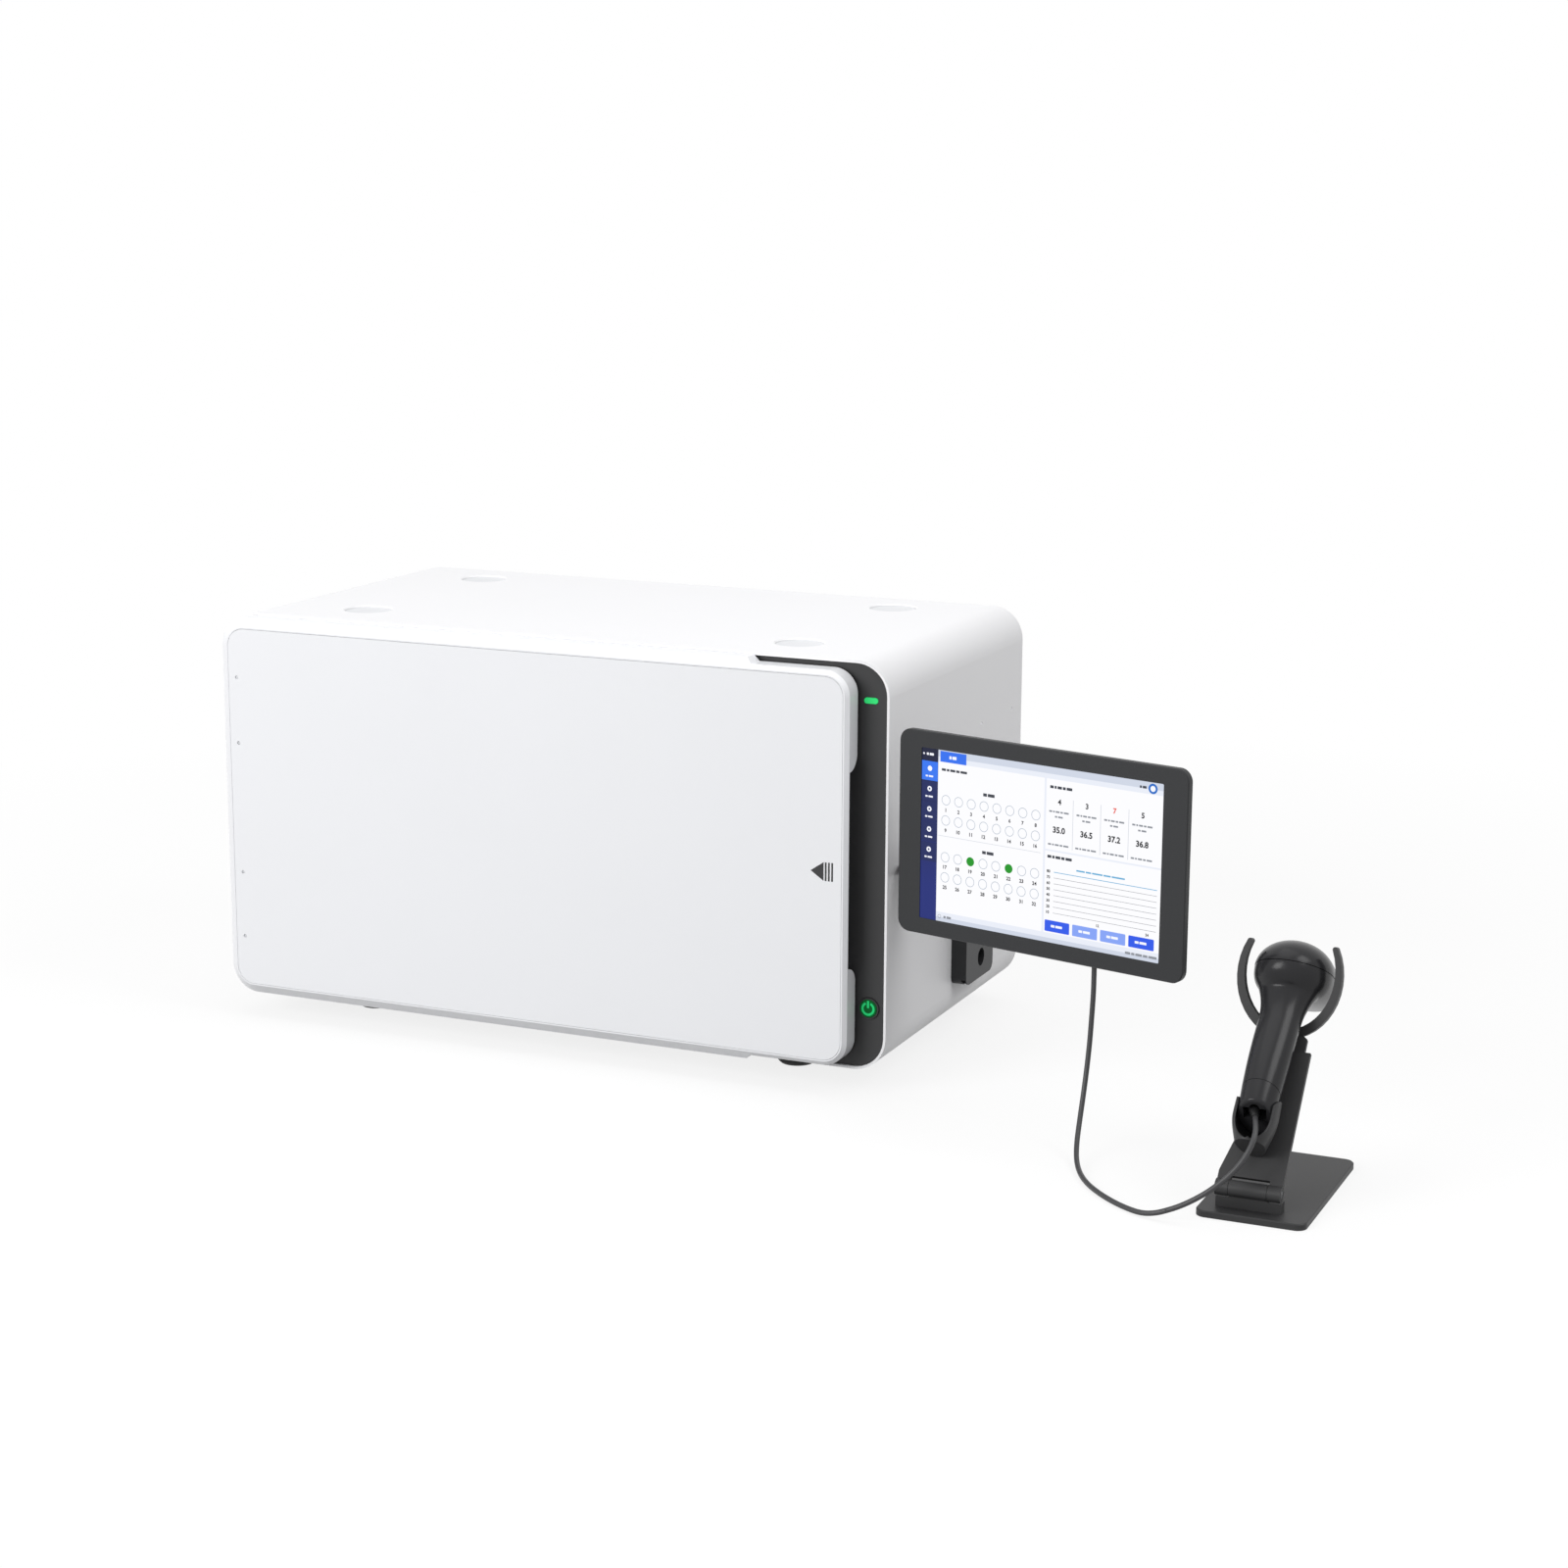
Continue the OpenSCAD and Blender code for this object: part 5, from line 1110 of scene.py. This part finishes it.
    def part_off(self, skin: bpy.types.Mesh, name: str, node: str, gap: float, above: bool) -> None:
        """Keep the skin above or below the slanted parting plane and close it there.

        Args:
            skin: The whole skin.
            name: The new piece's name.
            node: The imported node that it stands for.
            gap: How far above the plane the cut is, in millimetres.
            above: Whether the upper part is kept.
        """
        slant = math.atan(self.head_rise) + self.parting_extra
        normal_mm = np.array([0.0, -math.sin(slant), math.cos(slant)])
        centre = np.array([0.0, 0.0, self.head_up])
        origin = self.post.points(centre + gap * normal_mm)
        normal = self.post.points(normal_mm) - self.post.points(np.zeros(3))
        work = bmesh.new()
        work.from_mesh(skin)
        parts = work.verts[:] + work.edges[:] + work.faces[:]
        cut = bmesh.ops.bisect_plane(work, geom=parts, plane_co=Vector(origin), plane_no=Vector(normal),
                                     clear_outer=not above, clear_inner=above)
        rim = [part for part in cut["geom_cut"] if isinstance(part, bmesh.types.BMEdge)]
        bmesh.ops.edgeloop_fill(work, edges=rim)
        bmesh.ops.recalc_face_normals(work, faces=work.faces)
        mesh = bpy.data.meshes.new(name)
        work.to_mesh(mesh)
        work.free()
        if above:
            self.stand_proud(mesh, centre)
        mesh.polygons.foreach_set("use_smooth", np.full(len(mesh.polygons), True))
        mesh.set_sharp_from_angle(angle=self.sharp)
        mesh.materials.clear()
        mesh.materials.append(self.shop.materials["scanner_plastic"])
        piece = bpy.data.objects.new(name, mesh)
        bpy.context.scene.collection.objects.link(piece)
        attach(piece, "tilt_post")
        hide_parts(node)
        LOG.info("%s: %d faces", name, len(mesh.polygons))

    def stand_proud(self, mesh: bpy.types.Mesh, centre: np.ndarray) -> None:
        """Widen the upper shell about its middle, so that its edge stands over the lower one.

        Points move away from the post's upward line through the middle by one small share.

        Args:
            mesh: The upper shell.
            centre: Its middle, in millimetres of the post's axes.
        """
        flat = np.empty(len(mesh.vertices) * 3)
        mesh.vertices.foreach_get("co", flat)
        points = flat.reshape(-1, 3)
        middle = self.post.points(centre)
        grow = 1 + self.cap_proud / self.head_half_w
        away = points - middle
        along_up = (away @ self.post.up)[:, None] * self.post.up
        points = middle + along_up + (away - along_up) * grow
        mesh.vertices.foreach_set("co", points.ravel())


@dataclass
class StandCup:
    """The scoop on the stand's post: two rounded petals that hold the handle's end.

    Lengths are millimetres along the post's axes.
    """

    shop: Workshop
    post: PostAxes
    low: float = 25.0
    high: float = 62.0
    middle_back: float = -24.8
    half_width: float = 16.4
    rear_reach: float = 22.0
    front_reach: float = 16.4
    petal_turn: float = math.radians(120)
    petal_drop: float = 8.0
    mouth_power: int = 7
    tip_power: int = 6
    toe_share: float = 0.66
    toe_rate: float = 1.5
    lip_narrowing: float = 0.03
    wall: float = 1.7
    edge: float = 0.5
    sharp: float = math.radians(50)
    rows: int = 36
    columns: int = 81

    def skin(self) -> np.ndarray:
        """Place the outer skin on a grid of heights and turns.

        At the foot the wall closes all round. Higher up it turns less far round to the front,
        by a power of the height that is left, so that the mouth opens as a rounded U. The
        section grows from the toe as a quarter sine and narrows a little at the lip, by the
        fourth power of the height. The petals' tips drop by a power of the turn.

        Returns:
            Points as rows up the cup and columns from one petal to the other.
        """
        s = np.linspace(0, 1, self.rows)[:, None]
        u = np.linspace(-1, 1, self.columns)[None, :]
        turn = u * (self.petal_turn + (math.pi - self.petal_turn) * (1 - s) ** self.mouth_power)
        top = self.high - self.petal_drop * np.abs(u) ** self.tip_power
        grown = np.sin(np.minimum(1, self.toe_rate * s) * math.pi / 2)
        swell = self.toe_share + (1 - self.toe_share) * grown - self.lip_narrowing * s ** 4
        reach = np.where(np.cos(turn) > 0, self.rear_reach, self.front_reach * swell)
        return np.stack(np.broadcast_arrays(
            self.half_width * swell * np.sin(turn), self.middle_back + reach * np.cos(turn),
            self.low + (top - self.low) * s), axis=-1)

    def build(self) -> None:
        """Make the skin with its floor, give it its wall and let it stand for the cup."""
        row = np.arange(self.rows - 1)[:, None] * self.columns
        here = row + np.arange(self.columns - 1)[None, :]
        faces = np.stack([here, here + self.columns, here + self.columns + 1, here + 1], axis=-1)
        faces = faces.reshape(-1, 4).tolist() + [list(range(self.columns - 1))]
        points = self.post.points(self.skin().reshape(-1, 3))
        piece = self.shop.add("stand_cup_shell", points, faces, "stand_paint", "tilt_post", smooth=True)
        work = bmesh.new()
        work.from_mesh(piece.data)
        bmesh.ops.remove_doubles(work, verts=work.verts, dist=0.01 * MM)
        work.to_mesh(piece.data)
        work.free()
        piece.data.set_sharp_from_angle(angle=self.sharp)
        wall = piece.modifiers.new("wall", "SOLIDIFY")
        wall.thickness = self.wall * MM
        wall.offset = -1.0
        wall.use_even_offset = True
        edge = piece.modifiers.new("edge", "BEVEL")
        edge.width = self.edge * MM
        edge.segments = 2
        edge.limit_method = "ANGLE"
        edge.angle_limit = self.sharp
        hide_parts("scanner_cup")


@dataclass
class RecessDishes:
    """The shallow dishes at the bottom of the four foot recesses in the case's top, greyer than the case's
    paint as painted shade.
    """

    shop: Workshop
    radius_mm: float = 19.6
    floor_mm: float = 1.3
    dip_mm: float = 0.9
    foot_radius_mm: float = 16.0
    sides: int = 64
    rings: int = 14
    middle_share: float = 0.02

    def build(self) -> None:
        """Make each dish as rings that get smaller toward its middle.

        A ring's depth is the floor's plus the dip times one less the fourth power of the
        ring's share of the radius. So the floor is nearly flat in the middle and curves up to
        the wall, and the recess shows a soft shade along its edge.
        """
        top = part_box("case_shell")[1].z
        share = np.linspace(1.0, self.middle_share, self.rings)[:, None]
        angle = np.linspace(0, 2 * math.pi, self.sides, endpoint=False)[None, :]
        shapes = Outlines()
        for middle in self.middles():
            flat = middle + self.radius_mm * MM * share[..., None] * np.stack(
                np.broadcast_arrays(np.cos(angle), np.sin(angle)), axis=-1)
            depth = (self.floor_mm + self.dip_mm * (1 - share ** 4)) * MM
            up = np.broadcast_to(top - depth, flat.shape[:2])
            faces = grid_faces(self.rings, self.sides)
            faces.append([(self.rings - 1) * self.sides + k for k in range(self.sides)])
            shapes.mesh(np.concatenate([flat, up[..., None]], axis=-1).reshape(-1, 3), faces)
        # The dishes take the greyer recess finish, which is painted shade in the recesses.
        self.shop.add("recess_dishes", shapes.joined(), shapes.faces, "recess_painted_shade", "cabinet",
                      smooth=True)

    def middles(self) -> list[np.ndarray]:
        """Find the middles of the four recesses, which lie straight above the feet.

        Returns:
            Four places, each of two coordinates in metres.
        """
        low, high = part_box("rubber_feet")
        inset = self.foot_radius_mm * MM
        return [np.array([x, y]) for x in (low.x + inset, high.x - inset)
                for y in (low.y + inset, high.y - inset)]


@dataclass
class DoorMark:
    """The printed arrow that shows which side the door swings to."""

    shop: Workshop
    tip_mm: float = 247.7
    back_mm: float = 258.9
    middle_mm: float = 186.0
    half_height_mm: float = 7.6
    bars_mm: tuple = (260.0, 262.7, 265.5)
    bar_width_mm: float = 1.5
    proud_mm: float = 0.06

    def build(self) -> None:
        """Make a triangle that points left and three bars beside it."""
        shapes = Outlines()
        low, high = self.middle_mm - self.half_height_mm, self.middle_mm + self.half_height_mm
        shapes.polygon(self.place([(self.back_mm, low), (self.back_mm, high), (self.tip_mm, self.middle_mm)]))
        for bar in self.bars_mm:
            shapes.polygon(self.place(rectangle(bar, low, bar + self.bar_width_mm, high)))
        self.shop.add("door_mark", shapes.joined(), shapes.faces, "mark_grey", "door")

    def place(self, flat: Sequence) -> np.ndarray:
        """Put flat points just before the door's face.

        Args:
            flat: Points in millimetres, right of the cabinet's middle and above the bench.

        Returns:
            The points in the model's frame, in metres.
        """
        flat = np.asarray(flat, float)
        before = np.full(len(flat), -self.proud_mm)
        return self.shop.axes.points(np.stack([flat[:, 0], before, flat[:, 1]], axis=-1))


@dataclass
class PowerSymbol:
    """The lit sign on the power button: an open ring with a bar in its gap."""

    shop: Workshop
    radius_mm: float = 4.75
    line_mm: float = 1.9
    gap: float = math.radians(25)
    bar_foot_mm: float = 0.6
    bar_corner_mm: float = 0.5
    proud_mm: float = 0.05

    def build(self) -> None:
        """Make the open ring and the bar in its gap."""
        low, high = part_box("power_button")
        middle = (low + high) / 2
        shapes = Outlines()
        start, sweep = math.pi / 2 + self.gap, 2 * (math.pi - self.gap)
        outer = circle((0, 0), self.radius_mm + self.line_mm / 2, 40, start, sweep)
        inner = circle((0, 0), self.radius_mm - self.line_mm / 2, 40, start, sweep)
        shapes.strip(self.place(outer, middle, low.y), self.place(inner, middle, low.y), closed=False)
        bar = rectangle(-self.line_mm / 2, self.bar_foot_mm, self.line_mm / 2,
                        self.radius_mm + self.line_mm, self.bar_corner_mm)
        shapes.polygon(self.place(bar, middle, low.y))
        self.shop.add("power_symbol", shapes.joined(), shapes.faces, "symbol_green", "button")

    def place(self, flat: np.ndarray, middle: Vector, front: float) -> np.ndarray:
        """Put flat points in millimetres about the button's middle, just before its cap."""
        return np.stack([middle.x + flat[:, 0] * MM, np.full(len(flat), front - self.proud_mm * MM),
                         middle.z + flat[:, 1] * MM], axis=-1)


@dataclass
class Display:
    """What the monitor shows: a plain wells overview with figures and no words.

    Places on the display run from 0 to 1, u to the right and v down.
    """

    shop: Workshop
    monitor: MonitorAxes
    width_mm: float = 217.0
    height_mm: float = 136.0
    middle_mm: float = 223.9
    page_mm: float = 0.6
    step_mm: float = 0.05
    word_shares: tuple[float, ...] = (0.3, 0.2, 0.36, 0.26, 0.44)
    word_space: float = 0.0035
    long_label: float = 0.07
    side_right: float = 0.071
    tiles: int = 5
    tile_top: float = 0.075
    tile_pitch: float = 0.118
    columns: int = 8
    well_rows: tuple[float, ...] = (0.287, 0.405, 0.62, 0.738)
    well_left: float = 0.107
    well_pitch: float = 0.0545
    filled_wells: tuple = ((2, 2), (2, 5))
    counts: tuple = (("4", "35.0"), ("3", "36.5"), ("7", "37.2"), ("5", "36.8"))
    count_left: float = 0.585
    count_pitch: float = 0.112
    chart_top: float = 0.592
    chart_pitch: float = 0.0335
    chart_lines: int = 8
    button_left: float = 0.535
    button_pitch: float = 0.114
    layers: dict[tuple[str, int], Outlines] = field(default_factory=dict)

    COLOURS: ClassVar[dict[str, tuple[int, int, int]]] = {
        "page": (250, 250, 253), "side_navy": (18, 36, 118), "side_top": (10, 18, 52),
        "page_tint": (232, 236, 246), "tab_blue": (44, 110, 238), "side_bright": (48, 116, 240),
        "side_tile": (17, 32, 92), "rule_grey": (200, 205, 214), "circle_grey": (158, 172, 188),
        "well_green": (14, 148, 24), "figure_dark": (16, 18, 24), "label_grey": (140, 144, 152),
        "band_grey": (206, 213, 228), "title_grey": (58, 62, 72), "badge_blue": (20, 104, 196),
        "figure_red": (232, 78, 62), "button_blue": (38, 86, 232), "button_pale": (132, 162, 244),
        "chart_line": (118, 120, 126), "chart_blue": (96, 172, 214), "label_white": (246, 248, 255),
    }

    def layer(self, colour: str, level: int) -> Outlines:
        """Return the collection of one colour at one level above the page."""
        return self.layers.setdefault((colour, level), Outlines())

    def place(self, flat: np.ndarray, level: int) -> np.ndarray:
        """Put flat millimetre points about the display's middle into the frame."""
        back = self.page_mm - level * self.step_mm
        return self.monitor.points(flat[:, 0], back, self.middle_mm + flat[:, 1])

    def spot(self, u: float, v: float) -> tuple[float, float]:
        """Turn a place on the display into millimetres about its middle."""
        return (u - 0.5) * self.width_mm, (0.5 - v) * self.height_mm

    def box(self, colour: str, level: int, left: float, top: float, right: float, foot: float,
            radius: float = 0.0) -> None:
        """Add a filled rectangle between two places."""
        (x0, z1), (x1, z0) = self.spot(left, top), self.spot(right, foot)
        self.layer(colour, level).polygon(self.place(rectangle(x0, z0, x1, z1, radius), level))

    def label(self, colour: str, level: int, u: float, v: float, length: float,
              height: float) -> None:
        """Add the row of short bars that stands in for words, centred on a place.

        Args:
            colour: A colour's name.
            level: Its level above the page.
            u: The row's middle from the left.
            v: The row's middle from the top.
            length: The row's whole length.
            height: The bars' height.
        """
        shares = self.word_shares if length > self.long_label else self.word_shares[-2:]
        edge = u - length / 2
        for share in shares:
            span = length * share / sum(shares)
            self.box(colour, level, edge, v - height / 2, edge + span - self.word_space,
                     v + height / 2, 0.3)
            edge += span

    def figure(self, colour: str, level: int, u: float, v: float, text: str, height_mm: float) -> None:
        """Add a number centred on a place.

        Args:
            colour: A colour's name.
            level: Its level above the page.
            u: The number's middle from the left.
            v: The number's middle from the top.
            text: The number.
            height_mm: Its height.
        """
        flat, faces = numeral(text)
        centre = np.array(self.spot(u, v))
        self.layer(colour, level).mesh(self.place(flat * height_mm + centre, level), faces)

    def ring(self, colour: str, level: int, u: float, v: float, radius_mm: float, line_mm: float) -> None:
        """Add a thin circle centred on a place.

        Args:
            colour: A colour's name.
            level: Its level above the page.
            u: The circle's middle from the left.
            v: The circle's middle from the top.
            radius_mm: Its outer radius.
            line_mm: The width of its line.
        """
        centre = self.spot(u, v)
        self.layer(colour, level).strip(self.place(circle(centre, radius_mm), level),
                                        self.place(circle(centre, radius_mm - line_mm), level))

    def disc(self, colour: str, level: int, u: float, v: float, radius_mm: float) -> None:
        """Add a filled circle centred on a place."""
        self.layer(colour, level).polygon(self.place(circle(self.spot(u, v), radius_mm), level))

    def build(self) -> None:
        """Draw all parts and make one piece of each colour and level."""
        self.draw_side()
        self.draw_bars()
        self.draw_wells()
        self.draw_counts()
        self.draw_chart()
        self.draw_buttons()
        for (colour, level), shapes in self.layers.items():
            self.shop.add(f"display_{colour}_{level}", shapes.joined(), shapes.faces,
                          self.glow(colour), "monitor")
        page = self.shop.nodes["monitor_screen"].data
        page.materials.clear()
        page.materials.append(self.glow("page"))

    def glow(self, colour: str) -> bpy.types.Material:
        """Return the lit material of a colour, made once.

        Args:
            colour: A colour's name.

        Returns:
            A dark and faintly glossy material that gives off the colour.
        """
        name = f"lit_{colour}"
        if name not in bpy.data.materials:
            material = bpy.data.materials.new(name)
            material.use_nodes = True
            shader = material.node_tree.nodes["Principled BSDF"]
            shader.inputs["Base Color"].default_value = (0.01, 0.01, 0.01, 1.0)
            shader.inputs["Roughness"].default_value = 0.25
            shader.inputs["Specular IOR Level"].default_value = 0.2
            shader.inputs["Emission Color"].default_value = srgb(*self.COLOURS[colour])
            shader.inputs["Emission Strength"].default_value = 1.0
            if colour == "side_navy":
                self.darken_upward(material)
        return bpy.data.materials[name]

    def darken_upward(self, material: bpy.types.Material) -> None:
        """Let a lit colour run from its own tone low down to a darker one at the top.

        The share of the dark tone grows straight with the height in the object's own
        coordinates, from a fifth of the display's height up to its top.

        Args:
            material: The lit material.
        """
        nodes, link = material.node_tree.nodes, material.node_tree.links.new
        shader = nodes["Principled BSDF"]
        place = nodes.new("ShaderNodeTexCoord")
        split = nodes.new("ShaderNodeSeparateXYZ")
        share = nodes.new("ShaderNodeMapRange")
        share.inputs["From Min"].default_value = (self.middle_mm - self.height_mm * 0.3) * MM
        share.inputs["From Max"].default_value = (self.middle_mm + self.height_mm * 0.5) * MM
        tone = nodes.new("ShaderNodeMix")
        tone.data_type = "RGBA"
        tone.inputs["A"].default_value = shader.inputs["Emission Color"].default_value
        tone.inputs["B"].default_value = srgb(*self.COLOURS["side_top"])
        link(place.outputs["Object"], split.inputs[0])
        link(split.outputs["Z"], share.inputs["Value"])
        link(share.outputs["Result"], tone.inputs["Factor"])
        link(tone.outputs["Result"], shader.inputs["Emission Color"])

    def draw_side(self) -> None:
        """Draw the dark column at the left with its tiles."""
        self.box("side_navy", 1, 0.0, 0.0, self.side_right, 1.0)
        for tile in range(self.tiles):
            top = self.tile_top + self.tile_pitch * tile
            self.box("side_bright" if tile == 0 else "side_tile", 2, 0.001, top, 0.07, top + 0.112)
            self.disc("label_white", 3, 0.0355, top + 0.042, 2.1)
            if tile:
                self.disc("side_tile", 4, 0.0355, top + 0.042, 0.8)
            self.label("label_white", 3, 0.0355, top + 0.087, 0.036, 0.01)
        self.disc("label_white", 3, 0.009, 0.034, 0.8)
        self.label("label_white", 3, 0.038, 0.034, 0.034, 0.014)

    def draw_bars(self) -> None:
        """Draw the pale bars at the top and the foot, the tab and the titles."""
        self.box("band_grey", 1, self.side_right, 0.0, 1.0, 0.04)
        self.box("page_tint", 1, self.side_right, 0.04, 1.0, 0.068)
        self.box("page_tint", 1, self.side_right, 0.945, 1.0, 0.975)
        self.box("band_grey", 1, self.side_right, 0.975, 1.0, 1.0)
        self.box("page_tint", 1, 0.522, 0.068, 0.53, 0.945)
        self.box("tab_blue", 2, 0.08, 0.006, 0.192, 0.068)
        self.label("label_white", 3, 0.136, 0.038, 0.034, 0.018)
        self.label("title_grey", 2, 0.143, 0.112, 0.112, 0.014)
        self.label("title_grey", 2, 0.592, 0.112, 0.094, 0.016)
        self.label("title_grey", 2, 0.592, 0.508, 0.104, 0.016)
        self.disc("badge_blue", 2, 0.957, 0.036, 3.9)
        self.disc("label_white", 3, 0.957, 0.036, 2.2)
        self.label("title_grey", 2, 0.92, 0.034, 0.03, 0.014)
        self.ring("label_grey", 2, 0.086, 0.972, 1.6, 0.35)
        self.label("label_grey", 2, 0.122, 0.972, 0.036, 0.014)
        self.label("label_grey", 2, 0.93, 0.974, 0.13, 0.014)

    def draw_wells(self) -> None:
        """Draw four rows of circles with plain numbers, two of them filled."""
        for line, v in enumerate(self.well_rows):
            for column in range(self.columns):
                u = self.well_left + self.well_pitch * column
                if (line, column) in self.filled_wells:
                    self.disc("well_green", 2, u, v, 3.6)
                else:
                    self.ring("circle_grey", 2, u, v, 4.0, 0.42)
                self.figure("figure_dark", 2, u, v + 0.058, str(line * self.columns + column + 1), 3.0)
        for v in (0.22, 0.553):
            self.label("title_grey", 2, 0.292, v, 0.052, 0.018)
        self.box("rule_grey", 2, 0.075, 0.496, 0.512, 0.4985)

    def draw_counts(self) -> None:
        """Draw the four counts with their values and the rules between them."""
        for column, (count, value) in enumerate(self.counts):
            u = self.count_left + self.count_pitch * column
            self.figure("figure_red" if count == "7" else "figure_dark", 2, u, 0.192, count, 4.4)
            for v, length in ((0.25, 0.084), (0.278, 0.036), (0.437, 0.088)):
                self.label("label_grey", 2, u, v, length, 0.01)
            self.figure("figure_dark", 2, u, 0.352, value, 5.0)
            if column:
                edge = u - self.count_pitch / 2
                self.box("rule_grey", 2, edge - 0.001, 0.17, edge + 0.001, 0.452)
        self.box("page_tint", 1, 0.53, 0.468, 1.0, 0.478)

    def draw_chart(self) -> None:
        """Draw the chart's level lines, the top one blue, with numbers at the left."""
        for line in range(self.chart_lines):
            v = self.chart_top + self.chart_pitch * line
            colour, thick = ("chart_blue", 0.004) if line == 0 else ("chart_line", 0.0022)
            self.box(colour, 2, 0.568, v, 0.985, v + thick)
            self.figure("figure_dark", 2, 0.546, v, str(10 * (self.chart_lines - line)), 2.4)
        self.label("chart_blue", 2, 0.76, 0.563, 0.2, 0.009)
        self.figure("figure_dark", 2, 0.752, 0.853, "12", 2.2)
        self.figure("figure_dark", 2, 0.95, 0.853, "24", 2.2)

    def draw_buttons(self) -> None:
        """Draw the four buttons below the chart."""
        for column, colour in enumerate(("button_blue", "button_pale", "button_pale", "button_blue")):
            left = self.button_left + self.button_pitch * column
            self.box(colour, 2, left, 0.872, left + 0.102, 0.937, 0.8)
            self.label("label_white", 3, left + 0.051, 0.904, 0.05, 0.014)


def main() -> None:
    """Build the studio and dress the instrument, piece by piece."""
    logging.basicConfig(level=logging.INFO, format="%(message)s")
    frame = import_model()
    axes = CabinetAxes.read()
    Studio(axes).build()
    shop = Workshop(axes, frame["nodes"])
    Cord(shop).build()
    shop.dress_nodes()
    post = PostAxes.read(frame["record"])
    Scanner(shop, post).build()
    StandCup(shop, post).build()
    RecessDishes(shop).build()
    DoorMark(shop).build()
    PowerSymbol(shop).build()
    Display(shop, MonitorAxes(axes)).build()


if __name__ == "__main__":
    main()
